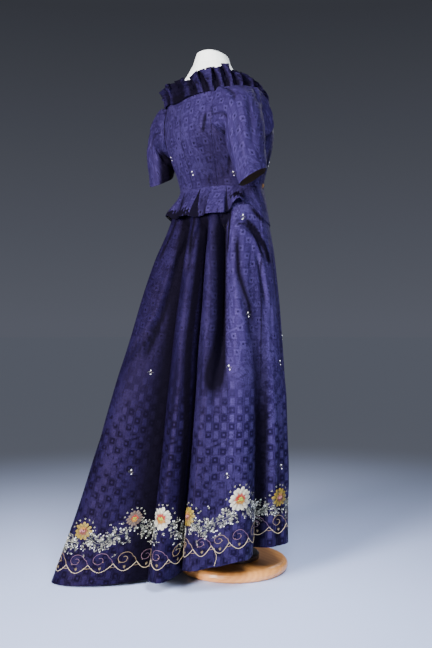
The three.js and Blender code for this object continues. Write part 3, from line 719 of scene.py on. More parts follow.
# Creases: how far each stands out (or in, below zero), its width, the length over which it fades,
# and its line as fold and height pairs from the top down.
CREASES = [
    (-7, 10, 60, [(4.95, 985), (4.883, 929), (4.645, 848), (4.569, 740), (4.5, 681), (4.364, 560)]),
    (3, 9, 60, [(4.78, 960), (4.75, 929), (4.52, 848), (4.44, 740), (4.36, 681), (4.26, 590)]),
    (-4, 8, 40, [(4.5, 700), (4.453, 681), (4.215, 610), (4.12, 560)]),
    (4, 8, 50, [(6.3, 985), (6.241, 938), (5.969, 896), (5.876, 849), (5.83, 780)]),
    (-5, 9, 50, [(6.42, 985), (6.39, 938), (6.13, 896), (6.04, 849), (6.0, 790)]),
    (-4, 13, 60, [(10.0, 930), (10.057, 878), (10.105, 801), (10.213, 750), (10.479, 690), (10.7, 600)]),
    (3, 11, 60, [(9.75, 930), (9.8, 878), (9.85, 801), (9.95, 750), (10.15, 690), (10.3, 600)]),
    (-6, 7, 40, [(10.05, 965), (10.095, 938), (10.57, 932), (11.197, 900), (11.557, 865), (11.95, 825)]),
    (4, 7, 40, [(10.0, 945), (10.3, 922), (10.9, 895), (11.3, 858), (11.7, 815)]),
    (-5, 8, 50, [(11.1, 880), (11.195, 847), (11.321, 803), (11.46, 760), (11.6, 700)]),
    (3.5, 8, 50, [(11.25, 880), (11.4, 847), (11.55, 803), (11.7, 760), (11.85, 700)]),
    (-4, 12, 90, [(9.0, 620), (8.7, 560), (8.55, 500), (8.5, 420)]),
    (3, 12, 90, [(9.5, 640), (9.3, 560), (9.15, 480), (9.1, 400)]),
    (-3, 12, 90, [(7.7, 700), (7.8, 600), (7.9, 480), (8.0, 380)]),
    (-3, 14, 90, [(6.05, 640), (5.95, 540), (5.9, 430), (5.85, 330)]),
    (-3, 14, 120, [(4.05, 560), (4.0, 430), (4.1, 300), (4.15, 200)]),
    (3, 14, 120, [(3.7, 620), (3.75, 480), (3.7, 330), (3.65, 200)]),
    (-3, 14, 120, [(3.5, 560), (3.45, 430), (3.5, 300), (3.45, 180)]),
    (-4, 10, 60, [(2.35, 980), (2.3, 900), (2.2, 800), (2.1, 690)]),
    (3, 10, 60, [(2.15, 960), (2.1, 880), (2.0, 780), (1.9, 690)]),
    (-3, 14, 100, [(1.7, 640), (1.75, 500), (1.8, 350), (1.75, 230)]),
    (-4, 10, 60, [(0.6, 985), (0.5, 900), (0.45, 800), (0.5, 700)]),
    (-3, 13, 100, [(0.4, 560), (0.45, 430), (0.4, 300), (0.45, 200)]),
    (-3, 12, 80, [(12.7, 930), (12.6, 800), (12.75, 650), (12.7, 500)]),
    (3, 12, 80, [(12.9, 560), (12.8, 430), (12.95, 300), (12.9, 180)]),
    (-2.5, 13, 90, [(13.6, 900), (13.5, 760), (13.55, 620), (13.5, 470)]),
    (-3, 13, 80, [(14.6, 880), (14.5, 740), (14.45, 600), (14.5, 430)]),
    (2.5, 13, 80, [(15.4, 860), (15.45, 700), (15.4, 560), (15.5, 400)]),
    (-3, 13, 80, [(16.4, 900), (16.5, 760), (16.45, 600), (16.4, 450)]),
    (-3, 12, 80, [(17.3, 930), (17.4, 800), (17.3, 650), (17.4, 500)]),
]

# Painted shade in the same form, their depth being how dark they are: soft dark bands in valleys and
# # where pleats and the basque's edge shade the skirt, and a thin line down the side seam.
SHADES = [
    (1.6, 6, 30, [(10.7, 992), (10.9, 982), (11.6, 956), (12.4, 936), (13.2, 930)]),
    (2.0, 7, 25, [(10.5, 955), (10.84, 935), (11.35, 908), (12.0, 858), (12.1, 825)]),
    (2.0, 3.5, 30, [(9.66, 985), (9.6, 950), (9.55, 900), (9.45, 850)]),
    (2.6, 26, 80, [(8.75, 990), (8.68, 870), (8.68, 760), (8.72, 630), (8.6, 560), (8.45, 480)]),
    (2.2, 9, 50, [
        (6.6, 985), (6.53, 900), (6.44, 780), (6.36, 630), (6.4, 500), (6.46, 420), (6.48, 280), (6.5, 120),
    ]),
    (2.2, 10, 50, [
        (4.75, 985), (4.63, 900), (4.68, 760), (4.72, 620), (4.74, 500), (4.77, 400), (4.8, 250), (4.85, 120),
    ]),
    (1.0, 4.5, 70, [(4.7, 880), (4.6, 750), (4.49, 690), (4.42, 655), (4.34, 620), (4.22, 560)]),
    (1.3, 4, 30, [(4.34, 980), (4.24, 900), (4.2, 840)]),
    (1.3, 4, 30, [(6.1, 985), (6.02, 900), (6.04, 840)]),
    (1.0, 9, 60, [(10.02, 930), (10.04, 820), (10.3, 760), (10.55, 715), (10.7, 650)]),
    (0.9, 2.6, 40, [
        (11.45, 870), (11.28, 780), (11.18, 700), (11.12, 620), (11.05, 480), (11.1, 300), (11.1, 110),
    ]),
]


def crease_line(line, height):
    """A crease's place as a function of height, and how far within its ends each height lies."""
    line = sorted(line, key=lambda point: point[1])
    at = through([point[1] for point in line], [point[0] for point in line])
    return at, np.minimum(height - line[0][1], line[-1][1] - height)


def crease_depths(fold, z, reach, lines):
    """How far the creases move each point of a grid, reach being millimetres per fold there."""
    moved = np.zeros_like(z)
    for depth, width, fade, line in lines:
        at, within = crease_line(line, z)
        tilt = (at(z + 2) - at(z - 2)) / 4 * reach
        distance = ((fold - at(z) + LINES / 2) % LINES - LINES / 2) * reach / np.sqrt(1 + tilt**2)
        moved += depth * smooth(within / fade) * hill(distance, width)
    return moved


TURN = 6.28  # the whole turn that random directions are drawn from
# Size in millimetres, height and seed of the ripples of the skirt, the bodice and the sleeves.
BROAD_RIPPLES, FINE_RIPPLES = (95, 1.0, 5), (38, 0.35, 11)
BODICE_RIPPLES, SLEEVE_RIPPLES = (46, 0.5, 21), (40, 0.7, 31)


def ripples(u, v, size, amount, seed):
    """Soft unevenness of hanging silk, from a few waves in scattered directions."""
    own = np.random.default_rng(seed)
    total = np.zeros_like(u)
    for _ in range(7):
        angle, length = own.uniform(-0.5, 0.5), own.uniform(0.6, 1.6) * size
        phase = own.uniform(0, TURN)
        across = u * np.cos(angle) + v * np.sin(angle) * 0.35
        total += np.sin(2 * np.pi * across / length + phase)
    return amount * total / 2.6


# Name, first and last fold line, the line that its checks are centred on, and their tilt.
SKIRT_PANELS = [
    ("skirt_back_left", 1, 3, 2, 0.0),
    ("skirt_train", 3, 5, 4.5, 0.15),
    ("skirt_centre_back", 5, 7, 6.2, 0.05),
    ("skirt_back_right", 7, 9, 9, 0.0),
    ("skirt_side_right", 9, 11, 9, 0.0),
    ("skirt_front", 11, 17.4, 15, 0.0),
    ("skirt_side_left", 17.4, 19, 15, 0.0),
]


def fold_shade(fold, z):
    """Painted shade: 0 on a pleat and 1 in the lower half of a deep valley."""
    a, b = (-depth for depth in depths_beside(fold, z))
    whole = np.maximum(np.maximum(a, b), 1)
    here = mix(a, b, smooth(fold - np.floor(fold))) / whole
    return smooth((here - 0.4) / 0.4) * clamp((whole - 3) / 20)


# How light the silk is painted at each fold line: the train and the centre back are painted darkest.
painted_light_at = through(
    (1, 2, 3, 4, 5, 6, 7, 8, 9, 10, 12, 15, 17, 19),
    (0.5, 0.45, 0.2, 0.05, 0.0, 0.0, 0.0, 0.22, 0.6, 0.9, 1.0, 0.85, 0.65, 0.5),
)


def silk_shell(name, grid, across, along, inside, painted_shade, tone, **form):
    """A piece of the gown in place of its solid.

    across and along are the cloth's own measures; the next value gives the painted shade that
    darkens each point, and tone how light the silk is painted there. form goes on to the shell.
    """
    piece = shell(name + "_silk", grid, np.stack([across, along], -1) * MM, [silk, inside], **form)
    # Each point keeps its painted shade and how light it is painted; the inner face gets fixed values.
    for stored, value, behind in (("painted_shade", painted_shade, 0.6), ("tone", tone, 0.3)):
        outer = np.broadcast_to(value, grid.shape[:2]).ravel()
        both = np.concatenate([outer, np.full(outer.shape, behind)]).astype(np.float32)
        piece.data.attributes.new(stored, "FLOAT", "POINT").data.foreach_set("value", both)
    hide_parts(name)


# Columns of points for each fold of the skirt, and rows from its waist to its hem.
PER_FOLD, DOWN = ((26, 150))
NEAR_FORM = 880  # the height above which the form lies close behind the skirt
NO_RIPPLES = 1030  # and the one above which it is smooth, under the peplum
RIPPLES_ACROSS, RIPPLES_UP = 320, 900  # how far round the skirt takes its ripples' pattern


class Panel:
    """One panel of the skirt: its grid of points, and the cloth's own measures along it."""

    def __init__(self, name, first, last, centre, tilt):
        self.name, self.first, self.last, self.tilt = name, first, last, tilt
        # A column beyond each edge gives both panels of a seam the same normals there.
        columns = int(round((last - first) * PER_FOLD))
        step = (last - first) / columns
        drop = np.linspace(0, 1, DOWN + 1)
        drop = drop * (1.25 - 0.25 * drop)
        folds, v = np.meshgrid(np.linspace(first - step, last + step, columns + 3), drop)
        z = skirt_height(folds, v)
        base = skirt_point(folds, z)
        normals = grid_normals(base)[:, 1:-1]
        reach = np.linalg.norm(np.gradient(base, axis=1), axis=-1)[:, 1:-1] / step
        folds, z, base = folds[:, 1:-1], z[:, 1:-1], base[:, 1:-1]
        self.around = lengths(base, 1)
        if first <= centre <= last:
            middle = np.array([np.interp(centre, folds[0], row) for row in self.around])
        else:
            middle = self.outside(centre, z)
        self.around = self.around - middle[:, None]
        down = lengths(base, 0)
        self.above = down[-1] - down
        moved = crease_depths(folds, z, reach, CREASES)
        # Painted shade: in the valleys, in the creases that press in and along the lines of SHADES.
        self.painted_shade = np.maximum(fold_shade(folds, z), smooth(-moved / 5.5 - 0.15))
        self.painted_shade = np.maximum(self.painted_shade, clamp(crease_depths(folds, z, reach, SHADES)))
        # The ripples carry on from panel to panel.
        turns = 2 * np.pi * folds / LINES
        across, up = RIPPLES_ACROSS * np.cos(turns), z + RIPPLES_UP * np.sin(turns)
        broad, fine = (ripples(across, up, *kind) for kind in (BROAD_RIPPLES, FINE_RIPPLES))
        moved += broad * smooth(self.above / 60) * smooth((NO_RIPPLES - z) / 120)
        moved += fine * smooth((NO_RIPPLES - z) / 90)
        # High up, where the form is close behind, no crease presses in far.
        deepest = mix(-8, CLOSE, smooth((z - NEAR_FORM) / 60))
        moved = np.where(z > NEAR_FORM, np.maximum(moved, deepest), moved)
        self.folds, self.z = folds, z
        self.grid = base + normals * (CLOTH + moved)[..., None]
        self.normals = grid_normals(self.grid)

    def outside(self, centre, z):
        """Distance round from this panel's first line to a centre line beyond the panel."""
        near = self.first if centre < self.first else self.last
        folds = np.linspace(near, centre, int(abs(centre - near) * PER_FOLD) + 2)
        rows = np.broadcast_to(z[:, :1] * 0 + z.mean(1, keepdims=True), (len(z), len(folds)))
        path = lengths(skirt_point(np.broadcast_to(folds, rows.shape), rows), 1)[:, -1]
        return -path if centre < self.first else self.around[:, -1] + path

    def build(self):
        along = self.z + self.tilt * self.around
        # How light the silk is painted: by fold line, and darker towards the hem.
        tone = painted_light_at(self.folds) * mix(0.55, 1.0, smooth((self.z - 180) / 330))
        silk_shell(self.name, self.grid, self.around, along, facing, self.painted_shade, tone)


panels = [Panel(*row) for row in SKIRT_PANELS]
for panel in panels:
    panel.build()

# ---------------------------------------------------------------- bodice and peplum

# The armhole: the turn of its middle and its half width in degrees, its middle's height, how far
# it rises and falls from there, and how square it is above and below.
ARM_TURN, ARM_HALF, ARM_Z, ARM_RISE, ARM_FALL = -74, 36, 1212, 84, 66
ARM_ABOVE, ARM_BELOW = 2.7, 2
UNDERLAP = 4  # how far the bodice reaches up into the armhole, under the sleeve
YOKE = 0.25  # share of the back's rows that lie above the armholes
FRONT_WAIST = 0.66  # share of a front's rows that lie above the waist
SEAM = 0.3  # clear space between two pieces at a seam
BASQUE_GROW = 2.2  # how far the basque stands out of the skirt


def bodice_top(turn):
    """The armhole's lower edge, and the neckline in front of it."""
    across = clamp(np.abs(-np.abs(turn) - ARM_TURN) / ARM_HALF)
    under = ARM_Z - ARM_FALL * (1 - across**ARM_BELOW) ** (1 / ARM_BELOW) + UNDERLAP
    return mix(under, neckline(turn) - 4 * SEAM, smooth((np.abs(turn) - 98) / 13))


def bodice_point(turn, z):
    """A point of the bodice's outer face. Below the waist it lies on the skirt."""
    above = body_point(turn, z, CLOSE + smooth((WAIST_Z + 12 - z) / 12) * BASQUE_GROW)
    x, y = ring([column(z) for column in skirt[:5]], turn, BASQUE_GROW + train_reach(turn, z))
    return np.where((z >= WAIST_Z)[..., None], above, points(x, y, z))


# Bodice creases in the same form as the skirt's, their lines as turn and height pairs.
BODICE_CREASES = [
    (-1.5, 5, 14, [(-30, 1078), (-27, 1055), (-25, 1040)]),
    (1.0, 5, 14, [(-23, 1072), (-22, 1055), (-21, 1040)]),
    (-1.3, 4, 12, [(-14, 1070), (-13, 1052), (-12, 1040)]),
    (-1.2, 4, 12, [(14, 1072), (13, 1055), (12, 1040)]),
    (-1.5, 6, 20, [(-44, 1110), (-47, 1080), (-50, 1045)]),
    (-1.6, 7, 22, [(-60, 1120), (-56, 1085), (-54, 1048)]),
    (-1.8, 8, 30, [(-33, 1235), (-28, 1190), (-26, 1150)]),
    (1.4, 8, 30, [(-29, 1240), (-24, 1195), (-22, 1160)]),
    (-1.6, 8, 30, [(33, 1235), (29, 1190), (27, 1150)]),
    (-1.4, 6, 20, [(46, 1105), (48, 1080), (51, 1045)]),
    (-1.6, 7, 24, [(118, 1150), (122, 1110), (124, 1060)]),
    (-1.6, 7, 24, [(-118, 1150), (-122, 1110), (-124, 1060)]),
    (-1.4, 9, 24, [(142, 1180), (140, 1130), (138, 1070)]),
    (-1.4, 9, 24, [(-142, 1180), (-140, 1130), (-138, 1070)]),
]
SEAM_TURNS = (-BACK_TURN, BACK_TURN, -SIDE_TURN, SIDE_TURN, 0, 128, -128)


def bodice_shell(name, turns, z, anchor):
    """A panel of the bodice from its grid of turns and heights, its checks starting at a turn."""
    grid = bodice_point(turns, z)
    step = np.maximum(np.abs(np.gradient(turns, axis=1)), 1e-6)
    reach = np.linalg.norm(np.gradient(grid, axis=1), axis=-1) / step
    moved = np.zeros_like(z)
    for depth, width, fade, line in BODICE_CREASES:
        at, within = crease_line(line, z)
        moved += depth * smooth(within / fade) * hill((turns - at(z)) * reach, width)
    for seam in SEAM_TURNS:
        moved -= 0.7 * hill((turns - seam) * reach, 1.4)
    moved -= 0.9 * hill(z - (WAIST_Z + 1), 2.0)
    around = lengths(grid, 1)
    way = 1 if turns[0, -1] > turns[0, 0] else -1
    start = [np.interp(anchor, row[::way], length[::way]) for row, length in zip(turns, around)]
    around = around - np.array(start)[:, None]
    above = z - WAIST_Z
    moved += ripples(around, above, *BODICE_RIPPLES)
    grid = grid + grid_normals(grid) * (CLOTH + moved)[..., None]
    # Painted shade beside the seam below the shoulder blade, towards the centre back and in the creases.
    painted_dim = hill(turns + BACK_TURN, 26) * smooth((1230 - z) / 90)
    painted_shade = np.maximum(smooth(-moved / 1.5 - 0.25) * 0.85, 0.3 * painted_dim)
    tone = mix(0.75, 0.6, smooth((20 - np.abs(turns)) / 30)) - 0.5 * painted_dim
    silk_shell(name, grid, around, above, lining, painted_shade, tone)


def bodice_back():
    u, v = shares(84, 96)
    turns = mix(BACK_TURN, -BACK_TURN, u) * (1 + 0.5 * smooth(1 - v / YOKE))
    under = ARM_Z + UNDERLAP
    yoke = mix(neckline(turns) - 2 * SEAM, under, clamp(v / YOKE))
    z = np.where(v < YOKE, yoke, mix(under, WAIST_Z + SEAM, clamp((v - YOKE) / (1 - YOKE))))
    bodice_shell("bodice_back", turns, z, 0)


def bodice_side(name, first, last, anchor):
    u, v = shares(44, 64)
    turns = mix(first, last, u)
    bodice_shell(name, turns, mix(bodice_top(turns), WAIST_Z + SEAM, v), anchor)


def bodice_front(name, side):
    u, v = shares(80, 110)
    front_turn = through((0, 0.2, 0.5, 1), (SIDE_TURN, 97, 112, 180))
    turns = side * front_turn(u if side < 0 else 1 - u)
    above = mix(bodice_top(turns), WAIST_Z + SEAM, clamp(v / FRONT_WAIST))
    share = clamp((v - FRONT_WAIST) / (1 - FRONT_WAIST))
    below = mix(WAIST_Z + SEAM, basque_at(np.abs(turns)), share)
    bodice_shell(name, turns, np.where(v < FRONT_WAIST, above, below), side * 180)


bodice_back()
bodice_side("bodice_side_right", -BACK_TURN, -SIDE_TURN, -BACK_TURN)
bodice_side("bodice_side_left", SIDE_TURN, BACK_TURN, BACK_TURN)
bodice_front("bodice_front_right", -1)
bodice_front("bodice_front_left", 1)

# Flutes of the basque's back: how far each line stands out at the lower edge, how far that edge
# # lifts there, and how much painted shade the fold beside it has.
FLUTES = [
    (-84, 0, 0, 0), (-78, 1, 0, 0.1), (-72, 15, 8, 0), (-66, 21, 18, 0), (-60, 17, 12, 0),
    (-58, 5, 2, 1), (-55, 0, 0, 1), (-52, 1, 0, 1), (-49.5, 14, 0, 0), (-42, 16, 0, 0),
    (-34, 19, 0, 0), (-30, 18, 0, 0), (-28, 6, 0, 0.8), (-25, 0, 0, 1), (-21, 1, 0, 1),
    (-17, 5, 0, 0.2), (-13, 13, 2, 0), (-7, 19, 6, 0), (0, 17, 4, 0.1), (4, 8, 0, 1),
    (11, 0, 0, 1), (16, 1, 1, 0.3), (22, 12, 12, 0), (29, 16, 16, 0), (37, 5, 6, 0.5),
    (43, 0, 0, 0.9), (49, 7, 4, 0.1), (58, 14, 12, 0), (66, 6, 5, 0.5), (73, 1, 0, 0.6),
    (84, 0, 0, 0),
]
flute_at, flute_lift, flute_dark = columns_of(FLUTES)
# Wedges of painted shade: their turns at the waist and at the edge, where they start, and their half widths.
WEDGES = [
    (-14.5, -15, 0.05, 1.2, 11), (13, 5, 0.05, 1.0, 8), (-51.5, -54.5, 0.1, 0.6, 6),
    (-30.5, -30, 0.15, 0.2, 1.6), (41, 43, 0.1, 0.6, 6), (70, 74, 0.1, 0.5, 5),
    (-43, -43.5, 0.85, 0.1, 0.8),
]


PEPLUM_COLUMNS, PEPLUM_ROWS = 361, 29
MILLIMETRES = 2.5  # to a degree of the peplum's edge, near enough


def make_peplum():
    columns = np.linspace(SIDE_TURN, -SIDE_TURN, PEPLUM_COLUMNS)
    turns, v = np.meshgrid(columns, np.linspace(0, 1, PEPLUM_ROWS))
    z = mix(WAIST_Z, basque_at(np.abs(turns)), v)
    grid = bodice_point(turns, z - 0.01)
    away = unit(grid - points(0 * z, skirt[3](z), z))
    flare = flute_at(turns) * smooth(v)
    uneven = 1.2 * np.sin(np.radians(turns * 11.3)) + 0.9 * np.sin(np.radians(turns * 23.7 + 40))
    flare = flare + uneven * v**2
    # Small tucks run up from the flutes to the waist seam.
    tucks = sum(hill(apart * 2.3, 5) for apart in (np.abs(turns + 30) - 13, turns - 12, turns - 40))
    flare = flare - 1.6 * tucks * np.sin(np.pi * clamp(v * 1.25)) * (flare > 1)
    flare = flare - 6 * hill(np.hypot((turns + 66) * 2.5, (z - 1010) * 1.3), 11)
    grid = grid + away * flare[..., None]
    grid[..., 2] += 1.6 * np.sin(np.radians(turns * 7.3)) * v**2 + flute_lift(turns) * smooth(v) * v
    grid = grid + grid_normals(grid) * CLOTH
    around = lengths(grid, 1)
    around = around - around[:, [PEPLUM_COLUMNS // 2]]
    # The two flutes that gape, and the wedges between the pleats, are painted in shadow.
    ragged = 1 + 0.25 * np.sin(turns * 1.9) + 0.2 * np.sin(turns * 0.8 + z * 0.5)
    near = 17 * ragged - np.hypot((turns + 66) * 2.2, (z - 1003) * 1.25)
    far = 32 * ragged - np.hypot((turns - 10) * 1.1, (z - 964) * 1.9)
    dark = np.maximum(smooth(near / 3), smooth(far / 5))
    for top, foot, start, narrow, wide in WEDGES:
        inside = mix(narrow, wide, v) - np.abs(turns - mix(top, foot, v)) * MILLIMETRES
        dark = np.maximum(dark, smooth(inside / 2 + 0.5) * (v > start))
    painted_shade = np.maximum(dark, 0.5 * flute_dark(turns) * smooth(v / 0.5))
    silk_shell("peplum", grid, around, -lengths(grid, 0), facing, painted_shade, 0.7)


make_peplum()

# ---------------------------------------------------------------- sleeves

# Rings from the armhole down to the cuff, as for the right sleeve: the middle out to the side, back
# and up, half of the depth and of the width, the lean in degrees, and how far the back falls.
SLEEVE_RIGHT = [
    (179, 99, 1202, 61, 58, 72, 0),
    (189, 103, 1158, 49, 56, 44, 0.1),
    (193, 100, 1116, 40, 49, 18, 0.25),
    (196, 84, 1047, 35, 37, 26, 0.4),
]
SLEEVE_LEFT = [
    (179, 99, 1208, 59, 56, 72, 0),
    (189, 104, 1172, 46, 52, 44, 0.1),
    (194, 106, 1138, 38, 44, 20, 0.25),
    (197, 108, 1087, 31, 35, 4, 0.5),
]


def armhole(phi):
    """Turn and height of the right armhole's edge, phi being 0 at its top."""
    angle = np.radians(phi)
    above = np.cos(angle) > 0
    exponent = 2 / np.where(above, ARM_ABOVE, ARM_BELOW)
    turn = ARM_TURN + ARM_HALF * power(np.sin(angle), exponent)
    z = ARM_Z + np.where(above, ARM_RISE, ARM_FALL) * power(np.cos(angle), exponent)
    return turn, np.minimum(z, neckline(turn) - 3)


def sleeve_ring(row, phi):
    x, y, z, deep, wide, lean, fall = row
    angle, tilt = np.radians(phi), math.radians(lean)
    across, back = deep * np.cos(angle), wide * np.sin(angle)
    return points(-x - across * math.cos(tilt), y + back, z + across * math.sin(tilt) - fall * back)


def along_curve(stops, v):
    """Centripetal curves through stops, one for each column, evaluated at v from 0 to 1."""
    count = len(stops) - 1
    place = clamp(v) * count
    i = np.minimum(np.floor(place).astype(int), count - 1)
    t = (place - i)[..., None]
    first = 2 * stops[0] - stops[1]
    last = 2 * stops[-1] - stops[-2]
    rows = np.stack([first, *stops, last])
    columns = np.arange(rows.shape[1])
    p = [rows[i + k, columns] for k in range(4)]
    apart = [np.linalg.norm(b - a, axis=-1, keepdims=True) for a, b in zip(p, p[1:])]
    gap_a, gap_b, gap_c = (np.maximum(gap**0.5, 1e-4) for gap in apart)
    m1 = ((p[1] - p[0]) / gap_a - (p[2] - p[0]) / (gap_a + gap_b) + (p[2] - p[1]) / gap_b) * gap_b
    m2 = ((p[2] - p[1]) / gap_b - (p[3] - p[1]) / (gap_b + gap_c) + (p[3] - p[2]) / gap_c) * gap_b
    square = -3 * p[1] + 3 * p[2] - 2 * m1 - m2
    cube = 2 * p[1] - 2 * p[2] + m1 + m2
    return p[1] + m1 * t + square * t**2 + cube * t**3


# Depth, width, and the crease's line as shares round and along the sleeve.
SLEEVE_CREASES = [
    (-5, 7, [(0.03, 0.12), (0.09, 0.3), (0.16, 0.48)]),
    (4, 7, [(0.07, 0.1), (0.13, 0.28), (0.2, 0.46)]),
    (-4, 6, [(0.97, 0.1), (0.94, 0.28), (0.9, 0.5)]),
    (3, 6, [(0.93, 0.12), (0.9, 0.3), (0.86, 0.46)]),
    (-4, 7, [(0.24, 0.12), (0.27, 0.35), (0.29, 0.6)]),
    (3.5, 7, [(0.29, 0.12), (0.33, 0.34), (0.35, 0.56)]),
    (-3, 8, [(0.13, 0.5), (0.15, 0.7), (0.14, 0.92)]),
    (3, 8, [(0.2, 0.55), (0.22, 0.72), (0.2, 0.9)]),
    (-3, 7, [(0.03, 0.42), (0.03, 0.65), (0.05, 0.88)]),
    (2.5, 7, [(0.08, 0.48), (0.09, 0.65), (0.1, 0.85)]),
    (-3.5, 8, [(0.42, 0.35), (0.44, 0.55), (0.42, 0.8)]),
    (-3, 8, [(0.62, 0.3), (0.6, 0.5), (0.62, 0.75)]),
    (-3, 8, [(0.8, 0.35), (0.82, 0.55), (0.8, 0.8)]),
]


SLEEVE_COLUMNS, SLEEVE_ROWS = 136, 79
HEAD_GATHERS = 23
SLEEVE_OUT, SLEEVE_LEAD = 2.4, 11  # how far out of the form it starts, and goes on straight out


def make_sleeve(name, rings, mirror, under_half, tone):
    """A sleeve: mirror is 1 for the right one, and under_half tells how far its shadow reaches."""
    u, v = shares_round(SLEEVE_COLUMNS, SLEEVE_ROWS)
    phi = 360 * u[0]
    turn, z = armhole(phi)
    start = body_point(turn, z, SLEEVE_OUT)
    away = unit(body_point(turn, z, SLEEVE_OUT + 10) - start)
    stops = [start, start + away * SLEEVE_LEAD] + [sleeve_ring(row, phi) for row in rings]
    grid = along_curve(np.stack(stops), v)
    grid[..., 0] *= mirror
    normals = grid_normals(grid, loop=True, flip=-mirror)
    around = lengths(np.concatenate([grid, grid[:, :1]], 1), 1)
    around, total = around[:, :-1], around[:, -1:]
    moved = np.zeros(grid.shape[:2])
    for depth, width, line in SLEEVE_CREASES:
        at, within = crease_line(line, v)
        distance = ((u - at(v) + 0.5) % 1 - 0.5) * total
        moved += depth * smooth(within / 0.09) * hill(distance, width)
    # Gathers where the sleeve's head is eased into the armhole, and a turned cuff.
    gathers = 1.3 * np.sin(2 * np.pi * HEAD_GATHERS * u + 2 * np.sin(9 * u))
    moved += gathers * hill(v - 0.04, 0.07) * (np.cos(2 * np.pi * u) > -0.3)
    moved += 0.5 * hill(v - 0.955, 0.012) - 0.5 * hill(v - 0.93, 0.008)
    moved += ripples(around, lengths(grid, 0), *SLEEVE_RIPPLES) * smooth(v / 0.1)
    grid = grid + normals * moved[..., None]
    # Painted shade on the side that faces the body and in the creases.
    under = smooth((under_half - np.abs(u - 0.5)) / 0.07) * smooth((v - 0.1) / 0.2)
    painted_shade = np.maximum(under, smooth(-moved / 4 - 0.3) * 0.7)
    across, along = around - total / 4, -lengths(grid, 0)
    silk_shell(name, grid, across, along, lining, painted_shade, tone, loop=True, flip=-mirror)


# The last number says how light each sleeve is painted.
make_sleeve("sleeve_right", SLEEVE_RIGHT, 1, 0.17, 0.75)
make_sleeve("sleeve_left", SLEEVE_LEFT, -1, 0.14, 0.65)

# ---------------------------------------------------------------- neck band and ruffle

BAND_HEIGHT, BAND_GATHERS, BAND_COLUMNS = 12, 130, 360
CURLS, CURL_COLUMNS, RUFFLE_HEIGHT, RUFFLE_CLOTH = 24, 34, 60, 0.8
lean_at = through((0, 45, 85, 115, 145, 180), (2, -6, -21, -33, -10, 2))  # by turn


def make_band():
    u, v = shares_round(BAND_COLUMNS, 7)
    turn = 180 - 360 * u
    grid = body_point(turn, neckline(turn) + BAND_HEIGHT * (1 - v), CLOSE)
    gathers = 0.25 * np.sin(2 * np.pi * BAND_GATHERS * u + 3 * np.sin(17 * u))
    moved = 0.5 * np.sin(np.pi * v) + gathers * (0.3 + 0.7 * v)
    grid = grid + grid_normals(grid, loop=True) * (CLOTH + moved)[..., None]
    along = BAND_HEIGHT * (1 - v)
    # The band is painted dark all over, as in the shade under the ruffle.
    silk_shell("neck_band", grid, lengths(grid, 1), along, lining, 0.7, 0.3, loop=True)


def make_ruffle():
    """A gathered frill: uneven curls lean either way, roll at their edge and have painted shade in their
    pockets.
    """
    own = np.random.default_rng(7)
    u, v = shares_round(CURLS * CURL_COLUMNS, 21)
    up = 1 - v

    def drift(count, low, high):
        values, place = own.uniform(low, high, count), u * count
        k = np.floor(place).astype(int)
        return mix(values[k % count], values[(k + 1) % count], smooth(place - k))

    phase = 2 * np.pi * (CURLS * u + drift(17, -0.42, 0.42) + drift(7, -0.4, 0.4))
    size = drift(23, 0.45, 1.35)
    swing = np.sin(phase + drift(19, -2.4, 2.4) * up**1.3)
    wave = swing * mix(2.2, 12.5 * size, up**0.6)
    wave = wave + 1.7 * np.sin(3.1 * phase + drift(11, -4, 4)) * up**1.5
    # The frill is crumpled all over, most at its free edge.
    crumple = np.zeros_like(phase)
    for waves, rows in ((61, 1.7), (83, -2.3), (47, 3.1), (109, 1.1)):
        crumple += np.sin(2 * np.pi * (waves * u + rows * up) + drift(11, -2.5, 2.5))
    crumple *= 1.3 * up**0.5
    wave += crumple
    turn = 180 - 360 * (u + 11.0 * np.sin(2 * phase + drift(11, -0.8, 0.8)) * up * size / 900)
    foot = body_point(turn, neckline(turn) + 2.5, 0)
    away = unit(foot * [1, 1, 0] - points(0, body[3](foot[..., 2]), 0))
    sag = drift(27, 0.0, 9.0) * (1 - up) ** 3
    grid = foot + away * (4.4 + lean_at(np.abs(turn)) * up * up + wave + 0.6 * sag)[..., None]
    grid[..., 1] += 0.24 * RUFFLE_HEIGHT * up * up
    rise = 0.96 * RUFFLE_HEIGHT * up * (1 + drift(37, -0.3, 0.1) - 0.2 * hill(turn - 5, 60))
    grid[..., 2] += rise - 7.0 * np.maximum(swing, 0) * up**2 * size - sag
    # Painted shade in the pockets behind the curls, low down between them and in the crumples; the free edge
    # is darkened in patches.
    pocket = smooth((0.62 - swing) / 0.6) * drift(19, 0.8, 1.0)
    low = smooth((0.5 - up) / 0.2) * smooth(0.9 - swing) * smooth(drift(17, -0.2, 1.8))
    edge = smooth((up - 0.86) / 0.1) * smooth(drift(29, -1.0, 1.2)) * 0.8
    creased = smooth(-crumple / 2.0 - 0.3) * 0.85
    painted_shade = clamp(np.maximum(np.maximum(pocket, low), np.maximum(edge, creased)))
    measures = lengths(grid, 1), RUFFLE_HEIGHT * up
    tone = drift(13, 0.0, 0.6)
    silk_shell("neck_ruffle", grid, *measures, silk, painted_shade, tone, loop=True, thick=RUFFLE_CLOTH)


make_band()
make_ruffle()

# ---------------------------------------------------------------- needlework

STEP = 3.0  # spacing of the tables that stitches are placed by
LOWEST, HIGHEST = -3, 900  # heights from the hem that those tables reach
JOIN = 45.0  # height above the hem where neighbouring panels' measures are joined


def resampled(at, rows, places):
    """Each row's values at new places, at telling where its own values lie."""
    return np.array([
        [np.interp(places, here, values) for values in row.T] for here, row in zip(at, rows)
    ]).transpose(0, 2, 1)


